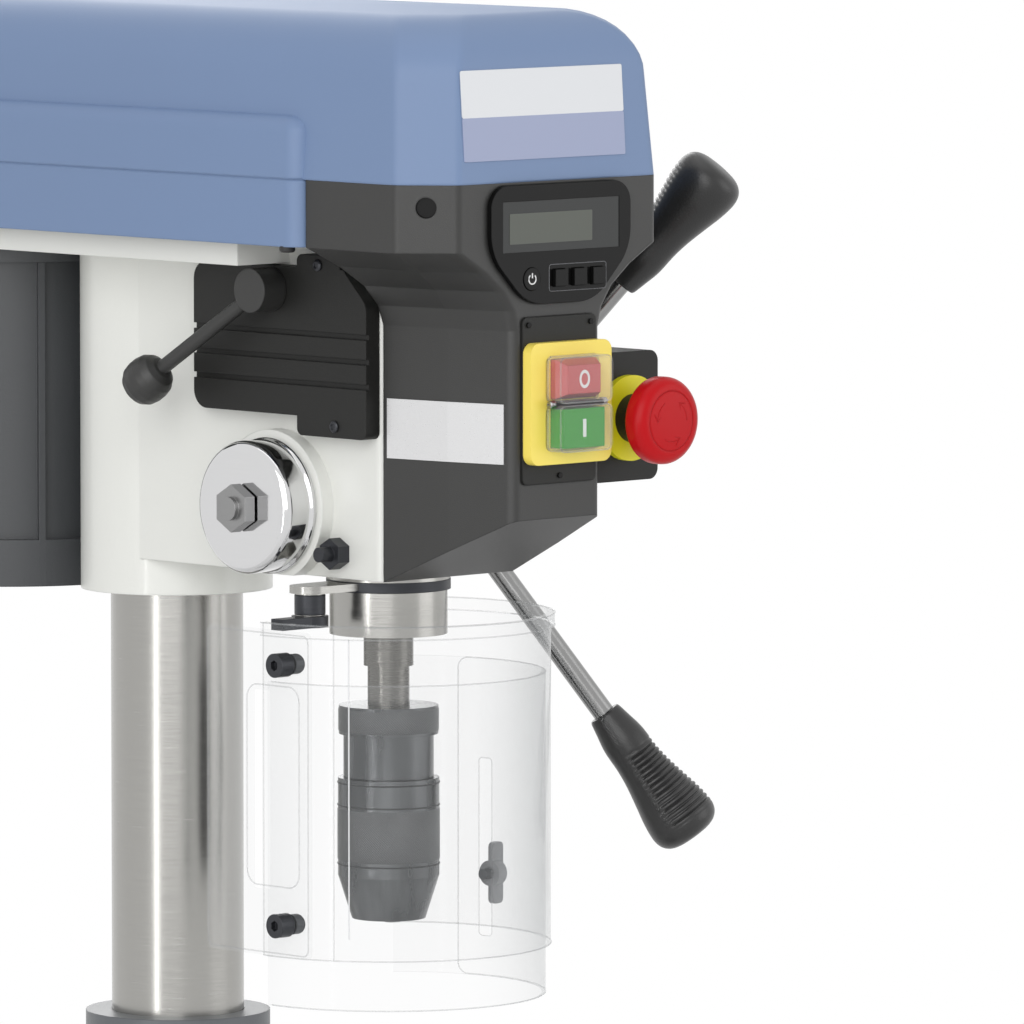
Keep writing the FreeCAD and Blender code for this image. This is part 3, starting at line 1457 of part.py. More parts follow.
nut_start = guard_radius + guard_gap
nut_end = nut_start + wing_nut_radius
nut = rod(wing_nut_radius, radial(stud_angle, nut_start, stud_z),
          radial(stud_angle, nut_end, stud_z))
wing = box(nut_start + wall / 3, nut_end + wing_nut_radius / 2, wall / 2, -wall / 2, -wing_span,
           wing_span)
tips = [e for e in wing.Edges if abs(e.tangentAt(e.FirstParameter).y) > 0.5]
wing = wing.makeFillet(wall, tips)
wing.rotate(V(0, 0, 0), upward, -stud_angle)
wing.translate(V(0, fore(0), up(stud_z)))
nut = nut.fuse(wing).removeSplitter()
write("guard_wing_nut", nut.cut(rod(guard_bolt_radius + running_gap,
                                    radial(stud_angle, 0, stud_z),
                                    radial(stud_angle, 2 * guard_radius, stud_z))))


# Drive: a fixed and a sliding sheave on each shaft, with a wide belt between them.
flank = math.tan(math.radians(sheave_angle))


def sheave(y, bore, side):
    """Half pulley whose cone faces up (side -1) or down (side 1)."""
    face_in = belt_width / 2 + (hub_outer - belt_radius) * flank
    face_out = belt_width / 2 + (sheave_radius - belt_radius) * flank
    middle = up(belt_height)
    back = face_out + sheave_rim
    profile = [(bore, middle + side * face_in), (hub_outer, middle + side * face_in),
               (sheave_radius, middle + side * face_out), (sheave_radius, middle + side * back),
               (hub_outer + wall, middle + side * back),
               (hub_outer, middle + side * (back + 2 * wall)),
               (bore, middle + side * (back + 2 * wall))]
    return turned(profile, 0, y)


sleeve_radius_out = sleeve_outer
drive_sleeve = post(sleeve_radius_out, 0, fore(0), sleeve_seat, up(shaft_top))
bearing = post(bearing_seat, 0, fore(0), sleeve_seat + seat_gap,
               sleeve_seat + bearing_pad)
spline_hole = spline(key_root + running_gap * 2, key_tip + running_gap * 2,
                     key_width + running_gap * 4, sleeve_seat - overrun, up(shaft_top + overrun))
drive_sleeve = joined([drive_sleeve, bearing, sheave(fore(0), 0, -1)]).cut(spline_hole)
write("spindle_pulley", drive_sleeve)
write("spindle_sheave", sheave(fore(0), sleeve_radius_out + running_gap, 1))

motor_shaft_depth = 50.0
shaft_low = head_top - deck_drop - motor_shaft_depth
motor_shaft = post(motor_shaft_radius, 0, motor_y, up(shaft_low), up(shaft_top))
write("motor_pulley", motor_shaft.fuse(sheave(motor_y, motor_shaft_radius / 2, 1))
      .removeSplitter())
write("motor_sheave", sheave(motor_y, motor_shaft_radius + running_gap, -1))


def make_belt():
    front_y, rear_y = fore(0), motor_y
    z = up(belt_height)
    path = Part.Wire([
        Part.LineSegment(V(belt_radius, front_y, z), V(belt_radius, rear_y, z)).toShape(),
        Part.Arc(V(belt_radius, rear_y, z), V(0, rear_y + belt_radius, z),
                 V(-belt_radius, rear_y, z)).toShape(),
        Part.LineSegment(V(-belt_radius, rear_y, z), V(-belt_radius, front_y, z)).toShape(),
        Part.Arc(V(-belt_radius, front_y, z), V(0, front_y - belt_radius, z),
                 V(belt_radius, front_y, z)).toShape()])
    half = belt_thickness / 2
    inner, outer = belt_width / 2 - half * flank, belt_width / 2 + half * flank
    slack = 2 * running_gap
    corners = [(-half, inner - slack), (half, outer - slack), (half, -outer + slack),
               (-half, -inner + slack)]
    ring = [V(belt_radius + r, front_y, z + h) for r, h in corners + corners[:1]]
    return path.makePipeShell([Part.makePolygon(ring)], True, True)


write("drive_belt", make_belt())

# Motor hung under the deck
motor_top = head_top - deck_drop
motor_bottom = motor_top - motor_length
motor = joined([
    post(motor_flange, 0, motor_y, up(motor_top - motor_flange_thickness), up(motor_top)),
    post(motor_radius, 0, motor_y, up(motor_bottom), up(motor_top)),
    post(motor_radius + fin_height, 0, motor_y, up(motor_bottom),
         up(motor_bottom + motor_end_length)),
    box(-terminal_width / 2, terminal_width / 2, motor_y, motor_y + motor_radius + terminal_depth,
        up(motor_top - 2 * motor_flange_thickness),
        up(motor_top - 2 * motor_flange_thickness - terminal_height))])
fin = box(0, motor_radius + fin_height, motor_y - fin_width / 2, motor_y + fin_width / 2,
          up(motor_bottom), up(motor_top - motor_flange_thickness))
motor = joined([motor] + around(fin, V(0, motor_y, 0), upward, motor_fins))
motor = motor.cut(post(motor_shaft_radius + running_gap, 0, motor_y,
                       up(shaft_low - seat_gap), up(motor_top + overrun)))
write("motor", motor)
print(len(pieces), "pieces written")
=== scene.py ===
import math

import bmesh
import bpy
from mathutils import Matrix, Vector


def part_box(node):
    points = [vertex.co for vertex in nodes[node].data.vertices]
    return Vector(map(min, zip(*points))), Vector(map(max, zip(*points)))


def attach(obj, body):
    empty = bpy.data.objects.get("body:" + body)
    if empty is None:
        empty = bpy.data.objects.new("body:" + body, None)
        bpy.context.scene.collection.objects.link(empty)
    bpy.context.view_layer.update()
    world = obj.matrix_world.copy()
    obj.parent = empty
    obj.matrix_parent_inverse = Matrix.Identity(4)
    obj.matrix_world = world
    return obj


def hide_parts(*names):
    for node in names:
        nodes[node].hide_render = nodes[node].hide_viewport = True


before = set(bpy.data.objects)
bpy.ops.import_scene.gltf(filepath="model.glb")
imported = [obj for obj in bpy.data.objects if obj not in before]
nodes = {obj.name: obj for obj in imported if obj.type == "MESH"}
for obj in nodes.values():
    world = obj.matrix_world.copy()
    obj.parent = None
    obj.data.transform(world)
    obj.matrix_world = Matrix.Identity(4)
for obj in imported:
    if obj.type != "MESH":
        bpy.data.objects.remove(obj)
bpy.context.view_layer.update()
print("frame loaded:", len(nodes), "nodes")

scene = bpy.context.scene
scene.view_settings.view_transform = "Standard"

# Where the head is, read from the frame
quillLow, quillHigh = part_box("quill")
spindleY = (quillLow.y + quillHigh.y) / 2
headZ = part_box("front_casing")[0].z        # underside of the head
perMetre = 1000                            # millimetres


# Point from millimetres right of, ahead of and above the spindle at the head's underside
def headPoint(x, forward, z):
    return Vector((x / perMetre, spindleY - forward / perMetre, headZ + z / perMetre))


# Shared effects: groups of nodes with their inputs' usual values, and helpers to fill them
def newGroup(name, values, outputs=("Color", "Roughness", "Height")):
    group = bpy.data.node_groups.new(name, "ShaderNodeTree")
    for label, value in values.items():
        kind = "Float" if isinstance(value, float) else "Color" if len(value) == 4 else "Vector"
        socket = group.interface.new_socket(label, in_out="INPUT", socket_type="NodeSocket" + kind)
        socket.default_value = value
    for label in outputs:
        kind = "Color" if label == "Color" else "Float"
        group.interface.new_socket(label, in_out="OUTPUT", socket_type="NodeSocket" + kind)
    given = group.nodes.new("NodeGroupInput").outputs
    return group, given, group.nodes.new("NodeGroupOutput").inputs


def addNode(tree, kind, links=None, **values):
    node = tree.nodes.new(kind)
    for key, value in values.items():
        if hasattr(node, key):
            setattr(node, key, value)
        else:
            node.inputs[key].default_value = value
    for key, source in (links or {}).items():
        tree.links.new(source, node.inputs[key])
    return node


def mathNode(tree, operation, first, second=0.0):
    node = addNode(tree, "ShaderNodeMath", operation=operation)
    for socket, value in zip(node.inputs, (first, second)):
        if isinstance(value, (int, float)):
            socket.default_value = value
        else:
            tree.links.new(value, socket)
    return node.outputs[0]


def vectorNode(tree, operation, *sources):
    node = addNode(tree, "ShaderNodeVectorMath", operation=operation)
    for source, socket in zip(sources, node.inputs):
        tree.links.new(source, socket)
    return node


# A group's own colour, made lighter or darker by a tone
def linkTone(group, given, result, tone):
    shaded = vectorNode(group, "SCALE", given["Color"])
    group.links.new(tone, shaded.inputs["Scale"])
    group.links.new(shaded.outputs[0], result["Color"])


noiseMiddle = 0.5


# A group's colour and roughness, both drifting with one noise
def linkDrift(group, given, result, noise):
    offset = mathNode(group, "SUBTRACT", noise, noiseMiddle)
    tone = mathNode(group, "MULTIPLY", offset, given["Tone Drift"])
    linkTone(group, given, result, mathNode(group, "ADD", 1.0, tone))
    rough = mathNode(group, "MULTIPLY", offset, given["Roughness Drift"])
    group.links.new(mathNode(group, "ADD", given["Roughness"], rough), result["Roughness"])


def makeGrainGroup():        # fine moulded or painted grain with slow drifts of tone
    group, given, result = newGroup("surfaceGrain", {
        "Grain Size": 900.0, "Drift Size": 9.0, "Tone Drift": 0.06, "Roughness": 0.4,
        "Roughness Drift": 0.08, "Color": (0.5, 0.5, 0.5, 1)})
    place = addNode(group, "ShaderNodeTexCoord").outputs["Object"]
    grain, drift = (addNode(group, "ShaderNodeTexNoise", {"Vector": place, "Scale": given[size]},
                            Detail=detail)
                    for size, detail in (("Grain Size", 3.0), ("Drift Size", 4.0)))
    linkDrift(group, given, result, drift.outputs[0])
    group.links.new(grain.outputs[0], result["Height"])
    return group


def makeMarksAndReflectionGroup():        # fine turning or grinding marks, drawn out along one axis; its tone drift also paints reflection bands on the chuck
    group, given, result = newGroup("toolMarksAndPaintedReflection", {
        "Stretch": (40.0, 40.0, 900.0), "Roughness": 0.25, "Roughness Drift": 0.15,
        "Tone Drift": 0.1, "Color": (0.6, 0.6, 0.6, 1)})
    place = addNode(group, "ShaderNodeTexCoord").outputs["Object"]
    drawn = vectorNode(group, "MULTIPLY", place, given["Stretch"])
    marks = addNode(group, "ShaderNodeTexNoise", {"Vector": drawn.outputs[0]}, Scale=1.0,
                    Detail=4.0)
    linkDrift(group, given, result, marks.outputs[0])
    group.links.new(marks.outputs[0], result["Height"])
    return group


def makeKnurlGroup():        # crossed diamond ridges round an upright axis
    group, given, result = newGroup("diamondKnurl", {
        "Axis Place": (0.0, spindleY, 0.0), "Ridges": 60.0, "Rise": 2000.0, "Valley Tone": 0.75,
        "Ridge Tone": 0.5, "Color": (0.1, 0.1, 0.1, 1)}, ("Color", "Height"))
    place = addNode(group, "ShaderNodeTexCoord").outputs["Object"]
    moved = vectorNode(group, "SUBTRACT", place, given["Axis Place"])
    parts = addNode(group, "ShaderNodeSeparateXYZ", {"Vector": moved.outputs[0]}).outputs
    turn = mathNode(group, "ARCTAN2", parts[1], parts[0])
    around = mathNode(group, "MULTIPLY", turn, given["Ridges"])
    rise = mathNode(group, "MULTIPLY", parts[2], given["Rise"])
    waves = [mathNode(group, "SINE", mathNode(group, step, around, rise))
             for step in ("ADD", "SUBTRACT")]
    height = mathNode(group, "MULTIPLY", *(mathNode(group, "ABSOLUTE", wave) for wave in waves))
    # Colour darker in the valleys and lighter towards the ridge tops, following the ridge height
    ridgeLift = mathNode(group, "MULTIPLY", height, given["Ridge Tone"])
    linkTone(group, given, result, mathNode(group, "ADD", ridgeLift, given["Valley Tone"]))
    group.links.new(height, result["Height"])
    return group


grainGroup = makeGrainGroup()
marksAndReflectionGroup = makeMarksAndReflectionGroup()
knurlGroup = makeKnurlGroup()

# Each finish: colour, roughness and what else differs from a plain one, which has the grain
reliefValues = {"depth": 0.0004, "edgeSamples": 4, "coatRoughness": 0.12}
finishValues = {
    "bluePlastic": ((0.168, 0.245, 0.408), 0.52,
                    {"bump": 0.12, "edge": 0.0015, "Grain Size": 1400.0, "Tone Drift": 0.05}),
    "blackPlastic": ((0.027, 0.027, 0.026), 0.44,
                     {"bump": 0.3, "edge": 0.0012, "Grain Size": 1700.0, "Tone Drift": 0.25}),
    "glossBlack": ((0.005, 0.005, 0.005), 0.22,
                   {"bump": 0.0, "edge": 0.0006, "specular": 0.12, "Roughness Drift": 0.05}),
    "gripBlack": ((0.020, 0.020, 0.020), 0.36,
                  {"bump": 0.25, "Grain Size": 1100.0, "Tone Drift": 0.2}),
    "creamPaint": ((0.790, 0.796, 0.758), 0.33,
                   {"bump": 0.22, "edge": 0.0012, "coat": 0.3, "Grain Size": 420.0,
                    "Tone Drift": 0.05}),
    "greyPaint": ((0.120, 0.128, 0.138), 0.4,
                  {"bump": 0.3, "edge": 0.0015, "Grain Size": 380.0, "Tone Drift": 0.15}),
    "motorPaint": ((0.045, 0.048, 0.052), 0.42,
                   {"bump": 0.2, "edge": 0.0008, "Grain Size": 600.0, "Tone Drift": 0.15}),
    "brightSteel": ((0.375, 0.370, 0.352), 0.24,
                    {"group": marksAndReflectionGroup, "metallic": 1.0, "bump": 0.05,
                     "Stretch": (60.0, 60.0, 1500.0)}),
    "groundIron": ((0.360, 0.360, 0.355), 0.44,
                   {"group": marksAndReflectionGroup, "metallic": 1.0, "bump": 0.1,
                    "Stretch": (1400.0, 30.0, 60.0)}),
    "darkSteel": ((0.300, 0.300, 0.300), 0.32,
                  {"group": marksAndReflectionGroup, "metallic": 1.0, "bump": 0.08, "edge": 0.0004}),
    "knurledBlack": ((0.100, 0.103, 0.105), 0.32,
                     {"group": knurlGroup, "metallic": 0.8, "bump": 0.5, "Ridges": 64.0,
                      "Rise": 2300.0}),
    # Painted reflection: the chuck's strong, slow tone drift round its axis stands in for bands of
    # reflected surroundings
    "chuckBlack": ((0.090, 0.093, 0.096), 0.28,
                   {"group": marksAndReflectionGroup, "metallic": 0.9, "bump": 0.1, "edge": 0.0005,
                    "Tone Drift": 2.2, "Stretch": (75.0, 75.0, 8.0)}),
    "rodSteel": ((0.290, 0.290, 0.288), 0.2,
                 {"group": marksAndReflectionGroup, "metallic": 1.0, "bump": 0.04,
                  "Stretch": (600.0, 60.0, 60.0)}),
    "spindleSteel": ((0.175, 0.171, 0.161), 0.26,
                     {"group": marksAndReflectionGroup, "metallic": 1.0, "bump": 0.06,
                      "Stretch": (60.0, 60.0, 1500.0)}),
    "darkPlastic": ((0.012, 0.012, 0.011), 0.5,
                    {"bump": 0.25, "edge": 0.001, "specular": 0.3, "Grain Size": 1500.0,
                     "Tone Drift": 0.2}),
    "blackOxide": ((0.040, 0.042, 0.048), 0.38,
                   {"group": marksAndReflectionGroup, "metallic": 0.6, "bump": 0.1, "edge": 0.0006,
                    "Tone Drift": 0.4}),
    "chrome": ((0.660, 0.660, 0.665), 0.09,
               {"group": marksAndReflectionGroup, "metallic": 1.0, "bump": 0.0, "Roughness Drift": 0.04,
                "Tone Drift": 0.03}),
    "aluminium": ((0.700, 0.700, 0.705), 0.30,
                  {"group": marksAndReflectionGroup, "metallic": 0.85, "bump": 0.05,
                   "Stretch": (50.0, 1200.0, 1200.0)}),
    "yellowPlastic": ((0.950, 0.760, 0.128), 0.36,
                      {"bump": 0.06, "edge": 0.0006, "Tone Drift": 0.05}),
    "yellowRing": ((0.850, 0.800, 0.010), 0.4, {"bump": 0.05, "Tone Drift": 0.04}),
    "redPlastic": ((0.480, 0.035, 0.035), 0.3, {"bump": 0.05, "edge": 0.0008, "Tone Drift": 0.06}),
    "stopRed": ((0.490, 0.006, 0.010), 0.32,
                {"bump": 0.04, "edge": 0.001, "specular": 0.15, "Tone Drift": 0.06}),
    "greenPlastic": ((0.014, 0.300, 0.010), 0.32,
                     {"bump": 0.05, "edge": 0.0008, "specular": 0.1, "Tone Drift": 0.06}),
    "greyPlastic": ((0.140, 0.142, 0.152), 0.45, {"bump": 0.1, "edge": 0.0006}),
    "beltRubber": ((0.014, 0.014, 0.015), 0.6, {"bump": 0.3}),
    "displayFrame": ((0.022, 0.024, 0.024), 0.2, {"bump": 0.0, "specular": 0.25}),
    "displayGlass": ((0.085, 0.093, 0.078), 0.25,
                     {"bump": 0.0, "specular": 0.3, "Tone Drift": 0.08}),
    "plateWhite": ((0.700, 0.715, 0.740), 0.3, {"bump": 0.0, "Tone Drift": 0.03}),
    "plateLavender": ((0.300, 0.340, 0.500), 0.3, {"bump": 0.0, "Tone Drift": 0.03}),
    "markWhite": ((0.800, 0.800, 0.800), 0.4, {"bump": 0.0}),
}


def newMaterial(name):
    material = bpy.data.materials.new(name)
    material.use_nodes = True
    return material, material.node_tree, material.node_tree.nodes["Principled BSDF"]


# Principled finish fed by one of the shared effects
def makeFinish(name, color, roughness, group=grainGroup, metallic=0.0, bump=0.1, edge=0.0,
               coat=0.0, specular=0.5, **settings):
    material, tree, shader = newMaterial(name)
    effect = addNode(tree, "ShaderNodeGroup", node_tree=group)
    effect.inputs["Color"].default_value = (*color, 1)
    for key, value in settings.items():
        effect.inputs[key].default_value = value
    tree.links.new(effect.outputs["Color"], shader.inputs["Base Color"])
    shader.inputs["Roughness"].default_value = roughness
    if "Roughness" in effect.outputs:
        effect.inputs["Roughness"].default_value = roughness
        tree.links.new(effect.outputs["Roughness"], shader.inputs["Roughness"])
    relief = addNode(tree, "ShaderNodeBump", {"Height": effect.outputs["Height"]},
                     Strength=bump, Distance=reliefValues["depth"])
    if edge:
        rounded = addNode(tree, "ShaderNodeBevel", Radius=edge,
                          samples=reliefValues["edgeSamples"])
        tree.links.new(rounded.outputs[0], relief.inputs["Normal"])
    tree.links.new(relief.outputs[0], shader.inputs["Normal"])
    shader.inputs["Metallic"].default_value = metallic
    shader.inputs["Coat Weight"].default_value = coat
    shader.inputs["Coat Roughness"].default_value = reliefValues["coatRoughness"]
    shader.inputs["Specular IOR Level"].default_value = specular
    return material


# Each clear moulding: colour, roughness, and alpha seen face on and from the side
clearValues = {
    "clearGuard": ((0.60, 0.62, 0.63), 0.08, 0.055, 0.6),
    "clearEdge": ((0.45, 0.46, 0.47), 0.15, 0.16, 0.5),
    # Near-white, fairly opaque line colour for a painted highlight on the guard shield
    "clearHighlightLine": ((0.90, 0.91, 0.92), 0.12, 0.75, 0.85),
    "clearCover": ((0.75, 0.75, 0.76), 0.12, 0.03, 0.55),
}
clearRamp = {"blend": 0.25, "ends": (0.08, 0.95)}


# Thin clear moulding: mostly see-through, greyer where it turns away
def makeClear(name, color, roughness, *alphas):
    material, tree, shader = newMaterial(name)
    shader.inputs["Base Color"].default_value = (*color, 1)
    shader.inputs["Roughness"].default_value = roughness
    facing = addNode(tree, "ShaderNodeLayerWeight", Blend=clearRamp["blend"])
    ramp = tree.nodes.new("ShaderNodeValToRGB")
    for i, (end, alpha) in enumerate(zip(clearRamp["ends"], alphas)):
        ramp.color_ramp.elements[i].position = end
        ramp.color_ramp.elements[i].color = (alpha, alpha, alpha, 1)
    tree.links.new(facing.outputs["Facing"], ramp.inputs[0])
    tree.links.new(ramp.outputs[0], shader.inputs["Alpha"])
    return material


finishes = {name: makeFinish(name, color, roughness, **more)
            for name, (color, roughness, more) in finishValues.items()}
finishes.update({name: makeClear(name, *values) for name, values in clearValues.items()})

nodeFinishes = {
    "bluePlastic": ["top_cover"],
    "blackPlastic": ["front_casing", "speed_lever", "feed_hub", "table_crank", "crank_grip"],
    "darkPlastic": ["side_cover", "stop_box", "switch_panel"],
    "gripBlack": ["feed_grips"],
    "glossBlack": ["display_bezel", "power_key", "unit_key", "mode_key", "zero_key",
                   "casing_screws"],
    "displayFrame": ["display_window"],
    "creamPaint": ["head_casting"],
    "greyPaint": ["base", "column_flange", "rack_collar", "table_bracket"],
    "groundIron": ["table"],
    "motorPaint": ["motor"],
    "brightSteel": ["column", "column_rack", "quill", "guard_ring"],
    "rodSteel": ["feed_rods"],
    "spindleSteel": ["spindle"],
    "darkSteel": ["quill_bearings", "feed_shaft", "crank_shaft", "return_spring", "motor_pulley",
                  "motor_sheave", "spindle_pulley", "spindle_sheave", "chuck_jaw_1",
                  "chuck_jaw_2", "chuck_jaw_3"],
    "blackOxide": ["flange_bolts", "tilt_bolt", "gib_screw", "guard_fixings", "clamp_lever"],
    "chuckBlack": ["chuck_body", "chuck_sleeve"],
    "chrome": ["spring_cap"],
    "yellowPlastic": ["switch_plate"],
    "yellowRing": ["stop_collar"],
    "redPlastic": ["stop_button"],
    "stopRed": ["stop_mushroom"],
    "greenPlastic": ["start_button"],
    "clearGuard": ["guard_shield", "guard_extension", "guard_plate"],
    "clearCover": ["switch_cover"],
    "greyPlastic": ["guard_wing_nut"],
    "beltRubber": ["drive_belt"],
}
for finish, names in nodeFinishes.items():
    for name in names:
        for slot in nodes[name].material_slots:
            slot.link = "OBJECT"
            slot.material = finishes[finish]
print("materials:", len(finishes))


# Camera, lights, floor
cameraValues = {"azimuth": -44.0, "elevation": 5.0, "distance": 6.0, "frameWidth": 0.5535,
                "aim": (48.0, 46.5, 32.0), "reach": 50}


def makeCamera():
    v = cameraValues
    turn, lift = math.radians(v["azimuth"]), math.radians(v["elevation"])
    away = Vector((math.sin(turn) * math.cos(lift), -math.cos(turn) * math.cos(lift),
                   math.sin(lift)))
    data = bpy.data.cameras.new("camera")
    data.angle = 2 * math.atan(v["frameWidth"] / 2 / v["distance"])
    data.clip_end = v["reach"]
    camera = bpy.data.objects.new("camera", data)
    camera.location = headPoint(*v["aim"]) + away * v["distance"]
    camera.rotation_euler = (-away).to_track_quat("-Z", "Y").to_euler()
    scene.collection.objects.link(camera)
    scene.camera = camera


lightValues = {
    "left": {"place": (-3.0, -2.2, 2.6), "size": 3.0, "power": 74},
    "front": {"place": (2.2, -3.2, 2.0), "size": 2.4, "power": 23},
    "top": {"place": (0.0, -0.2, 4.2), "size": 2.6, "power": 12},
    "rear": {"place": (1.6, 2.8, 2.6), "size": 2.0, "power": 30},
    "strip": {"place": (-2.0, -0.38, 1.25), "size": 0.14, "tall": 1.4, "power": 5},
}


def makeLights():
    target = Vector((0, spindleY, headZ))
    for name, v in lightValues.items():
        data = bpy.data.lights.new(name, "AREA")
        data.shape = "RECTANGLE"
        data.size = v["size"]
        data.size_y = v.get("tall", v["size"])
        data.energy = v["power"]
        lamp = bpy.data.objects.new(name, data)
        if "tall" in v:         # only there to be reflected
            lamp.visible_diffuse = False
            lamp.visible_camera = False
        lamp.location = v["place"]
        lamp.rotation_euler = (target - lamp.location).to_track_quat("-Z", "Y").to_euler()
        scene.collection.objects.link(lamp)


def seenDirectly(tree):        # 1 where the camera, a mirror or clear plastic looks at it
    path = tree.nodes.new("ShaderNodeLightPath").outputs
    through = mathNode(tree, "MAXIMUM", path["Is Glossy Ray"], path["Is Transmission Ray"])
    return mathNode(tree, "MAXIMUM", path["Is Camera Ray"], through)


def mixShaders(tree, share, first, second, end):
    mix = tree.nodes.new("ShaderNodeMixShader")
    for source, socket in zip((share, first.outputs[0], second.outputs[0]), mix.inputs):
        tree.links.new(source, socket)
    tree.links.new(mix.outputs[0], end.inputs["Surface"])


worldValues = {"soft": 0.55, "white": 1.0}        # strength as light, and as it is seen


def makeWorld():
    world = bpy.data.worlds.new("studio")
    scene.world = world
    world.use_nodes = True
    tree = world.node_tree
    soft = tree.nodes["Background"]
    soft.inputs["Strength"].default_value = worldValues["soft"]
    white = addNode(tree, "ShaderNodeBackground", Strength=worldValues["white"])
    for light in (soft, white):
        light.inputs["Color"].default_value = (1, 1, 1, 1)
    mixShaders(tree, seenDirectly(tree), soft, white, tree.nodes["World Output"])


floorValues = {"radius": 5.0, "steps": 96, "tone": 0.86, "roughness": 0.6,
               "fadeFrom": 1.1, "fadeTo": 2.6}


def makeFloor():        # pale disc that turns into the white backdrop away from the object
    v = floorValues
    mesh = bpy.data.meshes.new("floor")
    work = bmesh.new()
    bmesh.ops.create_circle(work, cap_ends=True, segments=v["steps"], radius=v["radius"])
    work.to_mesh(mesh)
    work.free()
    floor = bpy.data.objects.new("floor", mesh)
    scene.collection.objects.link(floor)
    material, tree, shader = newMaterial("paleFloor")
    shader.inputs["Base Color"].default_value = (v["tone"], v["tone"], v["tone"], 1)
    shader.inputs["Roughness"].default_value = v["roughness"]
    white = addNode(tree, "ShaderNodeEmission", Strength=1.0)
    place = addNode(tree, "ShaderNodeTexCoord")
    distance = vectorNode(tree, "LENGTH", place.outputs["Object"])
    fadeOut = tree.nodes.new("ShaderNodeMapRange")
    fadeOut.interpolation_type = "SMOOTHSTEP"
    fadeOut.inputs["From Min"].default_value = v["fadeFrom"]
    fadeOut.inputs["From Max"].default_value = v["fadeTo"]
    tree.links.new(distance.outputs["Value"], fadeOut.inputs["Value"])
    share = mathNode(tree, "MULTIPLY", fadeOut.outputs[0], seenDirectly(tree))
    mixShaders(tree, share, shader, white, tree.nodes["Material Output"])
    mesh.materials.append(material)


makeCamera()
makeLights()
makeWorld()
makeFloor()
print("camera, lights and floor made")


# Box of a CAD node in head millimetres: left, right, back, front, low, high
def headBox(node):
    low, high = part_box(node)
    return (low.x * perMetre, high.x * perMetre,
            (spindleY - high.y) * perMetre, (spindleY - low.y) * perMetre,
            (low.z - headZ) * perMetre, (high.z - headZ) * perMetre)


sharpAngle = math.radians(35)


def finishPiece(name, work, material, body="root", smooth=True, replaces=()):
    bmesh.ops.recalc_face_normals(work, faces=work.faces)
    mesh = bpy.data.meshes.new(name)
    work.to_mesh(mesh)
    work.free()
    piece = bpy.data.objects.new(name, mesh)
    scene.collection.objects.link(piece)
    mesh.materials.append(finishes[material])
    if smooth:
        mesh.shade_smooth()
        mesh.set_sharp_from_angle(angle=sharpAngle)
    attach(piece, body)
    if replaces:
        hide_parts(*replaces)
    return piece


# Closed 2D outline from (x, y, radius) corners, with arcs at the round ones
def roundedLoop(corners, steps):
    points = []
    count = len(corners)
    for i, (x, y, radius) in enumerate(corners):
        corner = Vector((x, y))
        back = (Vector(corners[i - 1][:2]) - corner).normalized()
        on = (Vector(corners[(i + 1) % count][:2]) - corner).normalized()
        half = back.angle(on) / 2
        if radius == 0:
            points.append(corner)
            continue
        centre = corner + (back + on).normalized() * (radius / math.sin(half))
        start = corner + back * (radius / math.tan(half)) - centre
        sweep = math.copysign(math.pi - 2 * half, back.cross(on) * -1)
        for k in range(steps + 1):
            turn = sweep * k / steps
            points.append(centre + Vector((start.x * math.cos(turn) - start.y * math.sin(turn),
                                           start.x * math.sin(turn) + start.y * math.cos(turn))))
    return points


def roundedBox(left, right, low, high, radius, steps=6):
    return roundedLoop([(left, low, radius), (right, low, radius), (right, high, radius),
                        (left, high, radius)], steps)


# Skin over rings of points that all have the same count
def joinRings(work, rings, closed=True, capped=True):
    made = [[work.verts.new(p) for p in ring] for ring in rings]
    count = len(made[0])
    for low, high in zip(made, made[1:]):
        for i in range(count if closed else count - 1):
            k = (i + 1) % count
            work.faces.new((low[i], low[k], high[k], high[i]))
    if capped:
        work.faces.new(made[0])
        work.faces.new(made[-1])
    return made


# Upright plate from an (x, z) outline; lean is the millimetres back per millimetre up
def frontSlab(work, loop, forward, thickness, lean=0.0):
    low = min(p[1] for p in loop)
    rings = [[headPoint(x, f - lean * (z - low), z) for x, z in loop]
             for f in (forward, forward + thickness)]
    joinRings(work, rings)


def fullTurn(steps):        # angles once round
    return [2 * math.pi * k / steps for k in range(steps)]


# Surface turned about an axis from (radius, distance) points, in millimetres
def spin(work, profile, start, direction, steps, capped=True):
    turn = direction.normalized().to_track_quat("Z", "Y").to_matrix()
    rings = []
    for radius, along in profile:
        offsets = [Vector((radius * math.cos(a), radius * math.sin(a), along)) / perMetre
                   for a in fullTurn(steps)]
        rings.append([start + turn @ offset for offset in offsets])
    joinRings(work, rings, capped=capped)


upWay, downWay = Vector((0, 0, 1)), Vector((0, 0, -1))
leftWay, frontWay, rearWay = Vector((-1, 0, 0)), Vector((0, -1, 0)), Vector((0, 1, 0))
shortSide = 0.1        # a path this close to upright takes its sides from another axis


# Thin bar along a path of places, in metres; its radius is in millimetres
def smoothTube(work, points, radius, closed=False, sides=8):
    rings = []
    count = len(points)
    for i, point in enumerate(points):
        before = points[i - 1] if i or closed else point
        after = points[(i + 1) % count] if i < count - 1 or closed else point
        along = (after - before).normalized()
        side = along.cross(upWay)
        if side.length < shortSide:
            side = along.cross(rearWay)
        side.normalize()
        rise = side.cross(along)
        rings.append([point + (side * math.cos(a) + rise * math.sin(a)) * radius / perMetre
                      for a in fullTurn(sides)])
    if closed:
        rings.append(rings[0])
    joinRings(work, rings, capped=not closed)


# Arc points of a (radius, distance) outline between two angles in degrees
def profileArc(centreR, centreZ, radius, start, end, steps=8):
    turns = [math.radians(start + (end - start) * k / steps) for k in range(steps + 1)]
    return [(centreR + radius * math.cos(a), centreZ + radius * math.sin(a)) for a in turns]


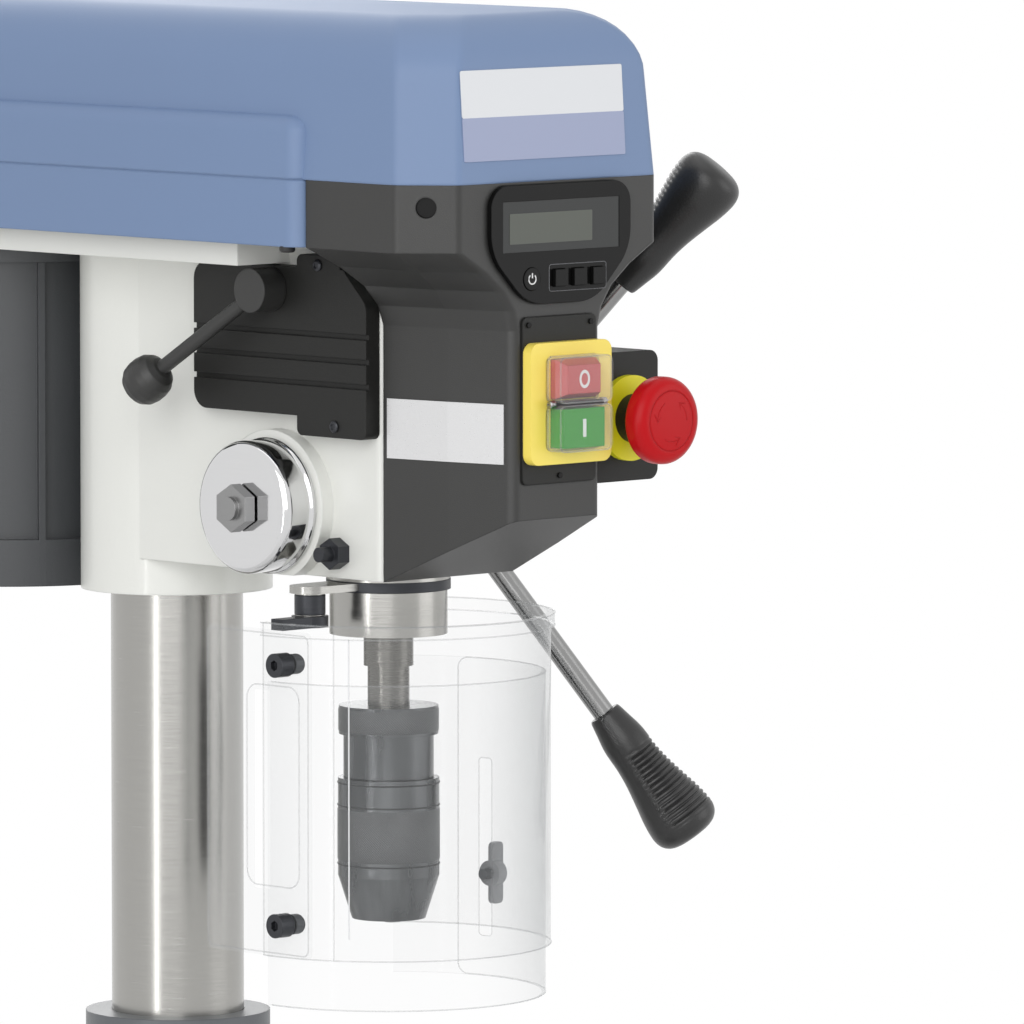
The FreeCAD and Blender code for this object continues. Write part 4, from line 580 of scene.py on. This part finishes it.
# Top cover: drafted body with rounded shoulders, and a deeper skirt over its rear half
coverValues = {"half": 95.0, "frontHalf": 72.0, "chamfer": 106.0, "front": 131.0,
               "parting": 217.0, "top": 305.0, "draft": 6.0, "edge": 7.0, "round": 34.0,
               "lip": 1.0, "wall": 3.0, "steps": 10, "rearAxis": -305.0,
               "skirtHalf": 100.0, "skirtFront": 36.0, "skirtTop": 251.0, "skirtLow": 181.0,
               "skirtRound": 10.0, "skirtSteps": 6, "skirtInner": 91.0, "skirtGap": 0.5,
               "groove": 0.8}
coverSlope = coverValues["draft"] / (coverValues["top"] - coverValues["parting"])


def coverRing(inset, z):
    v = coverValues
    half, frontHalf = v["half"] - inset, v["frontHalf"] - inset
    rear = v["rearAxis"] - half
    right = [(half, rear, half), (half, v["chamfer"] - inset, v["edge"]),
             (frontHalf, v["front"] - inset, v["edge"])]
    corners = right + [(-x, f, r) for x, f, r in reversed(right)]
    return [headPoint(p[0], p[1], z) for p in roundedLoop(corners, v["steps"])]


def makeCover():
    v = coverValues
    shoulder = v["top"] - v["round"]
    rings = [coverRing(0, v["parting"]), coverRing(coverSlope * v["lip"], v["parting"] + v["lip"])]
    for i in range(v["steps"] + 1):
        turn = math.pi / 2 * i / v["steps"]
        inset = coverSlope * (shoulder - v["parting"]) + v["round"] * (1 - math.cos(turn))
        rings.append(coverRing(inset, shoulder + v["round"] * math.sin(turn)))
    work = bmesh.new()
    made = joinRings(work, rings, capped=False)
    work.faces.new(made[-1])
    cover = finishPiece("cover_body", work, "bluePlastic",
                        replaces=("top_cover",))
    shell = cover.modifiers.new("wall", "SOLIDIFY")
    shell.thickness = v["wall"] / perMetre
    shell.offset = -1


def skirtRing(inset, z):        # open at the front, where the skirt runs into the cover's sides
    v = coverValues
    half = v["skirtHalf"] - inset
    front = v["skirtFront"] - inset
    rear = v["rearAxis"] - half
    corner = v["skirtRound"]
    inner = v["skirtInner"]
    loop = roundedLoop([(-inner, front, 0), (-half, front, corner), (-half, rear, half),
                        (half, rear, half), (half, front, corner), (inner, front, 0)], v["steps"])
    return [headPoint(p[0], p[1], z) for p in loop]


def makeSkirt():
    v = coverValues
    rings = [skirtRing(v["wall"], v["skirtLow"]), skirtRing(0, v["skirtLow"])]
    rings += [skirtRing(inset, v["parting"] + rise)
              for inset, rise in ((0, -v["groove"]), (v["groove"], 0), (0, v["groove"]))]
    base = v["skirtTop"] - v["skirtRound"]
    reach = v["skirtHalf"] - v["skirtInner"] - v["skirtGap"]
    for i in range(v["skirtSteps"] + 1):
        turn = math.pi / 2 * i / v["skirtSteps"]
        rings.append(skirtRing(min(v["skirtRound"], reach) * (1 - math.cos(turn)),
                               base + v["skirtRound"] * math.sin(turn)))
    work = bmesh.new()
    joinRings(work, rings, closed=False, capped=False)
    finishPiece("cover_skirt", work, "bluePlastic")


bumper = {"place": (-96.0, 23.6, 181.3), "radius": 4.2, "drop": 3.4, "round": 1.4}


def makeBumper():
    v = bumper
    work = bmesh.new()
    r = v["round"]
    corner = profileArc(v["radius"] - r, v["drop"] - r, r, 0, 90, steps=5)
    spin(work, [(v["radius"], 0), *corner], headPoint(*v["place"]), downWay, steps=32)
    finishPiece("cover_bumper", work, "beltRubber")


# Two-tone plate on the cover's leaning front
namePlate = {"left": -68.0, "right": 51.0, "low": 229.0, "split": 252.0, "high": 277.0,
             "corner": 1.0, "thickness": 0.5}


def makeNamePlate():
    v = namePlate
    for name, low, high, material in (("name_plate_upper", v["split"], v["high"], "plateWhite"),
                                      ("name_plate_lower", v["low"], v["split"], "plateLavender")):
        face = coverValues["front"] - coverSlope * (low - coverValues["parting"])
        work = bmesh.new()
        loop = roundedBox(v["left"], v["right"], low, high, v["corner"], steps=3)
        frontSlab(work, loop, face, v["thickness"], coverSlope)
        finishPiece(name, work, material, smooth=False)


makeCover()
makeSkirt()
makeBumper()
makeNamePlate()
print("cover made")


# Aluminium plate on the casing's left side, bent to follow its two faces
sidePlate = {"low": 67.0, "high": 99.0, "back": 50.0, "bend": 90.0, "front": 125.0,
             "halfBack": 48.0, "halfMid": 41.0, "halfFront": 32.0, "casingBack": 47.0,
             "casingFront": 131.0, "lift": 0.15, "thickness": 0.6}


def casingSide(forward):
    v = sidePlate
    if forward < v["bend"]:
        share = (forward - v["casingBack"]) / (v["bend"] - v["casingBack"])
        return v["halfBack"] + (v["halfMid"] - v["halfBack"]) * share
    share = (forward - v["bend"]) / (v["casingFront"] - v["bend"])
    return v["halfMid"] + (v["halfFront"] - v["halfMid"]) * share


def makeSidePlate():
    v = sidePlate
    work = bmesh.new()
    rings = []
    for forward in (v["back"], v["bend"], v["front"]):
        near = -casingSide(forward) - v["lift"]
        far = near - v["thickness"]
        rings.append([headPoint(near, forward, v["low"]), headPoint(far, forward, v["low"]),
                      headPoint(far, forward, v["high"]), headPoint(near, forward, v["high"])])
    joinRings(work, rings)
    finishPiece("side_plate", work, "aluminium", smooth=False)


makeSidePlate()

# Display: pale liquid crystal area, power mark and the strip round the keys
displayValues = {"areaLeft": -38.0, "areaRight": 23.0, "areaLow": 184.4, "areaHigh": 200.6,
                 "areaCorner": 0.6, "lift": 0.2, "markRadius": 2.6, "markLine": 0.38,
                 "markGap": 40.0, "markSteps": 24, "barShares": (0.2, 1.25),
                 "stripLine": 0.25, "stripMargin": 2.6, "stripCorner": 1.5}


# Place on a circle in an upright face; squeeze narrows the circle sideways
def facePoint(centre, radius, turn, forward, squeeze=1.0):
    return headPoint(centre[0] + squeeze * radius * math.cos(turn), forward,
                     centre[1] + radius * math.sin(turn))


def flatRing(work, centre, outer, inner, forward, thickness, squeeze=1.0, steps=40):
    rings = [[facePoint(centre, radius, turn, f, squeeze) for turn in fullTurn(steps)]
             for radius, f in ((outer, forward), (outer, forward + thickness),
                               (inner, forward + thickness), (inner, forward), (outer, forward))]
    joinRings(work, rings, capped=False)


# Thin bar along an (x, z) outline in an upright face
def faceTube(work, loop, forward, line):
    smoothTube(work, [headPoint(x, forward, z) for x, z in loop], line, closed=True)


def makeDisplay():
    v = displayValues
    front = headBox("display_window")[3]
    work = bmesh.new()
    loop = roundedBox(v["areaLeft"], v["areaRight"], v["areaLow"], v["areaHigh"], v["areaCorner"],
                      steps=3)
    frontSlab(work, loop, front, v["lift"])
    finishPiece("display_area", work, "displayGlass", smooth=False)

    left, right, _, front, low, high = headBox("power_key")
    x, z = (left + right) / 2, (low + high) / 2
    work = bmesh.new()
    gap = math.radians(v["markGap"])
    arc = [math.pi / 2 + gap + (2 * math.pi - 2 * gap) * k / v["markSteps"]
           for k in range(v["markSteps"] + 1)]
    smoothTube(work, [facePoint((x, z), v["markRadius"], turn, front) for turn in arc],
               v["markLine"])
    smoothTube(work, [headPoint(x, front, z + v["markRadius"] * share)
                      for share in v["barShares"]], v["markLine"])
    finishPiece("power_mark", work, "markWhite", body="power_key")

    left, _, _, _, low, high = headBox("unit_key")
    right = headBox("zero_key")[1]
    m = v["stripMargin"]
    work = bmesh.new()
    loop = roundedBox(left - m, right + m, low - m, high + m, v["stripCorner"], steps=4)
    faceTube(work, loop, headBox("display_bezel")[3], v["stripLine"])
    finishPiece("key_strip", work, "greyPlastic")


# Switch: marks on the buttons, rubber between the clear covers and a hinge at both ends of it
switchValues = {"markLift": 0.25, "ringOuter": 4.9, "ringInner": 3.2, "squeeze": 0.78,
                "barHalf": 1.15, "barHeight": 4.8, "barCorner": 0.3, "rubberHalf": 17.5,
                "rubberHeight": 2.6, "rubberCorner": 1.0, "rubberDepth": 7.0,
                "hingeIn": 17.0, "hingeOut": 4.6,
                "hinge": [(1.68, 0), (2.1, 0.3), (2.1, 3.6), (1.575, 4.2), (0.63, 4.2),
                          (0.63, 3.4)],
                "domeHalf": 18.6, "domeTall": 12.1, "domeCorner": 3.0, "domeInset": 1.4,
                "domeLine": 0.45}


def makeSwitchDetails():
    v = switchValues
    left, right, _, front, low, high = headBox("stop_button")
    x, stopZ = (left + right) / 2, (low + high) / 2
    work = bmesh.new()
    flatRing(work, (x, stopZ), v["ringOuter"], v["ringInner"], front, v["markLift"], v["squeeze"])
    finishPiece("off_mark", work, "markWhite", body="stop_button", smooth=False)

    _, _, _, front, low, high = headBox("start_button")
    startZ = (low + high) / 2
    work = bmesh.new()
    loop = roundedBox(x - v["barHalf"], x + v["barHalf"], startZ - v["barHeight"],
                      startZ + v["barHeight"], v["barCorner"], steps=2)
    frontSlab(work, loop, front, v["markLift"])
    finishPiece("on_mark", work, "markWhite", body="start_button", smooth=False)

    face = headBox("switch_plate")[3]
    middle = (stopZ + startZ) / 2
    work = bmesh.new()
    loop = roundedBox(x - v["rubberHalf"], x + v["rubberHalf"], middle - v["rubberHeight"] / 2,
                      middle + v["rubberHeight"] / 2, v["rubberCorner"], steps=3)
    frontSlab(work, loop, face, v["rubberDepth"])
    finishPiece("switch_rubber", work, "beltRubber")
    for side, name in ((-1, "left"), (1, "right")):
        work = bmesh.new()
        start = headPoint(x + side * v["hingeIn"], face + v["hingeOut"], middle)
        spin(work, v["hinge"], start, Vector((side, 0, 0)), steps=20)
        finishPiece("switch_hinge_" + name, work, "darkSteel")

    front = headBox("switch_cover")[3]
    work = bmesh.new()
    for z in (stopZ, startZ):
        loop = roundedBox(x - v["domeHalf"], x + v["domeHalf"], z - v["domeTall"],
                          z + v["domeTall"], v["domeCorner"], steps=4)
        for forward in (front - v["domeInset"], face + v["domeInset"]):
            faceTube(work, loop, forward, v["domeLine"])
    finishPiece("switch_cover_edges", work, "clearEdge")


# Emergency stop button with a soft rim, a ring groove and three turning arrows
stopValues = {"stem": 8.0, "capGap": 7.5, "backRound": 3.0, "frontRound": 6.5, "rimEnd": 84,
              "groove": 16.6, "grooveWidth": 1.0, "grooveDepth": 0.5,
              "bow": 0.7, "bowShares": (0.75, 0.5, 0.25),
              "arrows": 3, "arrowRadius": 11.0, "arrowSweep": 62.0, "arrowSteps": 10,
              "arrowLift": 0.25, "arrowLine": 0.34, "wingStep": 7, "wingShares": (0.8, 1.2)}


def makeStopButton():
    v = stopValues
    left, right, back, front, low, high = headBox("stop_mushroom")
    x, z = (left + right) / 2, (low + high) / 2
    radius = (right - left) / 2
    capBack = headBox("stop_box")[3] + v["capGap"]
    profile = [(v["stem"], back), (v["stem"], capBack)]
    face = front - v["bow"]
    b, r = v["backRound"], v["frontRound"]
    profile += profileArc(radius - b, capBack + b, b, -90, 0)
    profile += profileArc(radius - r, face - r, r, 0, v["rimEnd"])
    g, w = v["groove"], v["grooveWidth"]
    profile += [(g, face), (g - w / 2, face - v["grooveDepth"]), (g - w, face)]
    profile += [(g * share, face + v["bow"] * (1 - share * share)) for share in v["bowShares"]]
    work = bmesh.new()
    spin(work, profile, headPoint(x, 0, z), frontWay, steps=80)
    finishPiece("stop_cap", work, "stopRed", body="stop_mushroom",
                replaces=("stop_mushroom",))
    work = bmesh.new()
    sweep = math.radians(v["arrowSweep"])
    lift = face + v["arrowLift"]
    for i in range(v["arrows"]):
        first = math.radians(360 / v["arrows"] * i)
        turns = [first + sweep * k / v["arrowSteps"] for k in range(v["arrowSteps"] + 1)]
        path = [facePoint((x, z), v["arrowRadius"], turn, lift) for turn in turns]
        smoothTube(work, path, v["arrowLine"])
        for share in v["wingShares"]:
            wing = facePoint((x, z), share * v["arrowRadius"], turns[v["wingStep"]], lift)
            smoothTube(work, [path[-1], wing], v["arrowLine"])
    finishPiece("stop_arrows", work, "stopRed", body="stop_mushroom")


makeDisplay()
makeSwitchDetails()
makeStopButton()
print("display and switches made")


# Feed grips: soft swell with a rounded end and one ribbed finger panel on each
gripValues = {"count": 3, "root": (71.0, -33.0, 37.0), "rake": 25.0, "first": 57.0,
              "handle": 235.0, "length": 84.0, "bore": 6.0, "ribPitch": 3.0, "ribHeight": 0.95,
              "ribFrom": 27.0, "ribTo": 71.0, "panelFrom": -1, "panelHalf": 62.0,
              "panelSoft": 9.0, "steps": 72, "step": 0.5,
              "outline": [(0.0, 8.2), (1.2, 9.2), (8.0, 10.6), (18.0, 12.4), (30.0, 12.8),
                          (40.0, 13.9), (52.0, 16.2), (62.0, 18.3), (70.0, 19.3), (75.0, 19.1),
                          (79.0, 17.6), (82.0, 14.4), (83.5, 10.0), (84.0, 4.5)]}


# Catmull-Rom curve through (distance, radius) points
def smoothOutline(points, step):
    out = []
    padded = [points[0], *points, points[-1]]
    for a, b, c, d in zip(padded, padded[1:], padded[2:], padded[3:]):
        count = max(2, round((c[0] - b[0]) / step))
        for k in range(count):
            t = k / count
            out.append(tuple(0.5 * (2 * q + (r - p) * t + (2 * p - 5 * q + 4 * r - s) * t * t
                                    + (3 * q - p - 3 * r + s) * t ** 3)
                             for p, q, r, s in zip(a, b, c, d)))
    return out + [points[-1]]


# 1 between low and high, falling to 0 over the soft width outside them
def fade(value, low, high, soft):
    inside = min((value - low) / soft, (high - value) / soft) + 1
    return max(0.0, min(1.0, inside))


def ribDepth(along, angle):        # how far a grip is cut in, angle measured round it
    v = gripValues
    turn = math.degrees(min(angle, 2 * math.pi - angle))
    mask = fade(turn, v["panelFrom"], v["panelHalf"], v["panelSoft"])
    mask *= fade(along, v["ribFrom"], v["ribTo"], v["ribPitch"])
    valley = 0.5 - 0.5 * math.cos(2 * math.pi * (along - v["ribFrom"]) / v["ribPitch"])
    return v["ribHeight"] * mask * valley ** 2


def makeGrips():
    v = gripValues
    work = bmesh.new()
    rake = math.radians(v["rake"])
    for i in range(v["count"]):
        angle = math.radians(v["first"] + 360 / v["count"] * i)
        way = Vector((math.sin(rake), -math.cos(rake) * math.cos(angle),
                      math.cos(rake) * math.sin(angle)))
        pull = Vector((0, math.sin(angle), math.cos(angle)))
        pull = (pull - way * pull.dot(way)).normalized()
        side = way.cross(pull)
        start = headPoint(*v["root"]) + way * (v["handle"] - v["length"]) / perMetre
        rings = [[start + (pull * math.cos(a) + side * math.sin(a)) * v["bore"] / perMetre
                  for a in fullTurn(v["steps"])]]
        for along, radius in smoothOutline(v["outline"], v["step"]):
            ring = []
            for a in fullTurn(v["steps"]):
                out = (pull * math.cos(a) + side * math.sin(a)) * (radius - ribDepth(along, a))
                ring.append(start + (way * along + out) / perMetre)
            rings.append(ring)
        joinRings(work, rings)
    finishPiece("ribbed_grips", work, "gripBlack", body="feed",
                replaces=("feed_grips",))


# Chrome return spring cap with a rolled rim and a shallow dished face
capValues = {"f": -33.0, "z": 37.0, "inner": 56.0, "reach": 22.0, "rim": 37.0, "radius": 36.0,
             "bead": 2.0, "beadTurn": 60, "neck": 0.6, "corner": 5.0, "dish": 0.8,
             "dishShares": (0.95, 0.85, 0.7, 0.55), "bore": 9.0, "wall": 2.0}


def makeCap():
    v = capValues
    back, face = v["radius"] - v["wall"], v["radius"] - v["corner"]
    b, turn = v["bead"], v["beadTurn"]
    profile = [(back, 0), (v["rim"] - b / 2, 0)]
    profile += profileArc(v["rim"] - b, b, b, -turn, turn, steps=6)
    profile += [(v["radius"] - v["neck"], 2 * b + v["neck"])]
    profile += profileArc(face, v["reach"] - v["corner"], v["corner"], 0, 90)
    profile += [(face * share, v["reach"] - v["dish"] * (1 - (2 * share - 1) ** 4))
                for share in v["dishShares"]]
    profile += [(v["bore"], v["reach"] - v["dish"]), (v["bore"], v["reach"] - v["wall"]),
                (back, v["reach"] - v["corner"]), (back, 0)]
    work = bmesh.new()
    spin(work, profile, headPoint(-v["inner"], v["f"], v["z"]), leftWay, steps=96, capped=False)
    finishPiece("cap_skin", work, "chrome", replaces=("spring_cap",))


def aroundSpindle(radius, angle, z):        # angle in radians from the right
    return headPoint(radius * math.cos(angle), radius * math.sin(angle), z)


# Chuck: knurled ring and sleeve bands with turned grooves, over the CAD body and sleeve
chuckValues = {"knurl": [("chuck_ring_knurl", "spindle", 27.0, -86.5, -74.0),
                         ("sleeve_knurl", "chuck_sleeve", 27.5, -156.5, -128.5)],
               "lift": 0.3, "chamfer": 0.5, "steps": 96,
               "grooveRadius": 27.5, "grooves": (-158.7, -126.7, -114.5), "grooveLine": 0.45}


def makeChuckBands():
    v = chuckValues
    for name, body, radius, low, high in v["knurl"]:
        work = bmesh.new()
        r, c = radius + v["lift"], v["chamfer"]
        profile = [(radius, 0), (r, c), (r, high - low - c), (radius, high - low)]
        spin(work, profile, headPoint(0, 0, low), upWay, steps=v["steps"], capped=False)
        finishPiece(name, work, "knurledBlack", body=body)
    work = bmesh.new()
    for z in v["grooves"]:
        path = [aroundSpindle(v["grooveRadius"], a, z) for a in fullTurn(v["steps"])]
        smoothTube(work, path, v["grooveLine"], closed=True)
    finishPiece("sleeve_grooves", work, "beltRubber", body="chuck_sleeve")


# Guard: fine pale edges of the clear sheets, a painted highlight line on the shield, an embossed
# slot outline, black ring and sleeve
guardValues = {"radius": 88.1, "line": 0.4, "left": 183.0, "right": -45.0, "joint": 152.8,
               "top": -22.2, "bottom": -201.8, "rimRadius": 90.1, "rimLow": -29.0,
               "inner": 85.0, "innerTop": -54.2, "innerBottom": -228.8, "innerStart": 181.0,
               "innerEnd": -20.0, "innerCorner": 6.0, "slotCornerRight": 2.0, "fine": 0.3,
               # lip and highlightLow: angle and lower end of the painted highlight line on the
               # shield
               "lip": 147.3, "highlightLow": -190.0,
               "plateX": -93.1, "plate": (-43.0, 36.0, -199.0, -27.0), "plateCorner": 4.0,
               "slot": (-12.0, 29.0, -163.0, -55.0), "slotCorner": 8.0,
               "bandRadius": 33.8, "bandBore": 32.6, "bandTop": -3.6, "bandLow": -9.2,
               "sleeveRadius": 8.4, "sleeveTop": -8.6, "sleeveLow": -19.8, "sleeveEdge": 0.5,
               "postX": -58.0}

# The sheets are single surfaces with lips, so a look through the whole guard stays clear
sheetValues = {"step": 3.0,
               "shield": [(85.6, -202.0), (88.0, -202.0), (88.0, -29.0), (90.0, -28.6),
                          (90.0, -22.4), (85.6, -22.0)],
               "extension": [(83.0, -229.0), (85.2, -229.0), (85.2, -207.0), (85.2, -109.0),
                             (85.2, -54.0), (83.0, -54.0)],
               "slotTurn": (-5.0, -11.0), "slotRise": (-207.0, -109.0),
               "plateX": -92.0, "plate": (-45.0, 38.0, -201.0, -25.0), "plateCorner": 4.0,
               "slot": (-7.0, 5.0, -165.0, -58.0), "slotCorner": 1.0}


# Points round the spindle between two angles in degrees
def guardArc(radius, start, end, z, steps=60):
    turns = [math.radians(start + (end - start) * k / steps) for k in range(steps + 1)]
    return [aroundSpindle(radius, turn, z) for turn in turns]


def onSheet(radius, points):        # points as (arc length from the right, height)
    return [aroundSpindle(radius, u / radius, z) for u, z in points]


def quarterArc(u, z, radius, start, steps=6):
    turns = [math.radians(start + 90 * (k + 0.5) / steps) for k in range(steps)]
    return [(u + radius * math.cos(t), z + radius * math.sin(t)) for t in turns]


def sideLoop(x, box, corner):        # rounded box in the plane of the guard's side plate
    return [headPoint(x, forward, z) for forward, z in roundedBox(*box, corner)]


def makeCurvedSheet(name, profile, body, node, hole=False):
    v = sheetValues
    left, right = guardValues["left"], guardValues["right"]
    first, last = v["slotTurn"]
    turns = [left - v["step"] * k for k in range(round((left - right) / v["step"]))]
    turns = sorted({*turns, right, first, last}, reverse=True)
    work = bmesh.new()
    made = [[work.verts.new(aroundSpindle(r, math.radians(a), z)) for a in turns]
            for r, z in profile]
    for k, (low, high) in enumerate(zip(made, made[1:])):
        slotted = hole and (profile[k][1], profile[k + 1][1]) == v["slotRise"]
        for i in range(len(turns) - 1):
            if slotted and last < turns[i] <= first:
                continue
            work.faces.new((low[i], low[i + 1], high[i + 1], high[i]))
    finishPiece(name, work, "clearGuard", body=body, replaces=(node,))


def makeGuardSheets():
    v = sheetValues
    makeCurvedSheet("clear_shield", v["shield"], "guard", "guard_shield")
    makeCurvedSheet("clear_extension", v["extension"], "guard_extension", "guard_extension",
                    hole=True)
    work = bmesh.new()
    joinRings(work, [sideLoop(v["plateX"], v["plate"], v["plateCorner"]),
                     sideLoop(v["plateX"], v["slot"], v["slotCorner"])], capped=False)
    finishPiece("clear_side_plate", work, "clearGuard", body="guard",
                replaces=("guard_plate",))


# Upright line on the shield at an angle in degrees
def uprightTube(work, angle, low, high):
    turn = math.radians(angle)
    smoothTube(work, [aroundSpindle(guardValues["radius"], turn, z) for z in (low, high)],
               guardValues["line"])


def makeGuardEdges():
    v = guardValues
    work = bmesh.new()
    for radius, z in ((v["rimRadius"], v["top"]), (v["rimRadius"], v["rimLow"]),
                      (v["radius"], v["bottom"])):
        smoothTube(work, guardArc(radius, v["left"], v["right"], z), v["line"])
    for angle in (v["left"], v["right"], v["joint"]):
        uprightTube(work, angle, v["bottom"], v["top"])
    for box, corner in ((v["plate"], v["plateCorner"]), (v["slot"], v["slotCorner"])):
        smoothTube(work, sideLoop(v["plateX"], box, corner), v["line"], closed=True)
    finishPiece("guard_edges", work, "clearEdge", body="guard")
    work = bmesh.new()
    # Painted highlight: a near-white line on the shield standing in for the light caught along a
    # sheet edge
    uprightTube(work, v["lip"], v["highlightLow"], v["rimLow"])
    finishPiece("guard_highlight_line", work, "clearHighlightLine", body="guard")


def makeExtensionEdges():
    v = guardValues
    work = bmesh.new()
    r, c = v["inner"], v["innerCorner"]
    turn = math.radians(v["innerEnd"]) * r + c
    corners = (quarterArc(turn, v["innerTop"] - c, c, 90)
               + quarterArc(turn, v["innerBottom"] + c, c, 180))
    top, bottom = (guardArc(r, v["innerStart"], math.degrees(turn / r), z)
                   for z in (v["innerTop"], v["innerBottom"]))
    smoothTube(work, top + onSheet(r, corners) + bottom[::-1], v["line"])
    near, far = (math.radians(angle) * r for angle in sheetValues["slotTurn"])
    loop = roundedBox(far, near, *sheetValues["slotRise"], v["slotCornerRight"], steps=4)
    smoothTube(work, onSheet(r, loop), v["fine"], closed=True)
    finishPiece("extension_edges", work, "clearEdge", body="guard_extension")


def makeRingBand():
    v = guardValues
    work = bmesh.new()
    height = v["bandTop"] - v["bandLow"]
    profile = [(v["bandBore"], 0), (v["bandRadius"], 0), (v["bandRadius"], height),
               (v["bandBore"], height), (v["bandBore"], 0)]
    spin(work, profile, headPoint(0, 0, v["bandLow"]), upWay, steps=72, capped=False)
    finishPiece("guard_ring_band", work, "blackOxide")
    work = bmesh.new()
    height = v["sleeveTop"] - v["sleeveLow"]
    r, edge = v["sleeveRadius"], v["sleeveEdge"]
    spin(work, [(r - edge, 0), (r, edge), (r, height - edge), (r - edge, height)],
         headPoint(v["postX"], 0, v["sleeveLow"]), upWay, steps=40)
    finishPiece("post_sleeve", work, "blackOxide")


# Small domed screws on the side cover's ears
screwValues = {"profile": [(3.2, 0), (3.2, 0.8), (2.72, 1.36), (1.92, 1.6), (1.6, 1.6),
                           (1.44, 0.9)],
               "places": {"ear_screw_top": (-58.0, 6.5, 168.5),
                          "ear_screw_low": (-58.0, 19.5, 82.5)}}


def makeScrews():
    for name, place in screwValues["places"].items():
        work = bmesh.new()
        spin(work, screwValues["profile"], headPoint(*place), leftWay, steps=24)
        finishPiece(name, work, "blackOxide")


makeGrips()
makeCap()
makeChuckBands()
makeGuardSheets()
makeGuardEdges()
makeExtensionEdges()
makeRingBand()
makeScrews()
print("grips, cap, chuck and guard made")
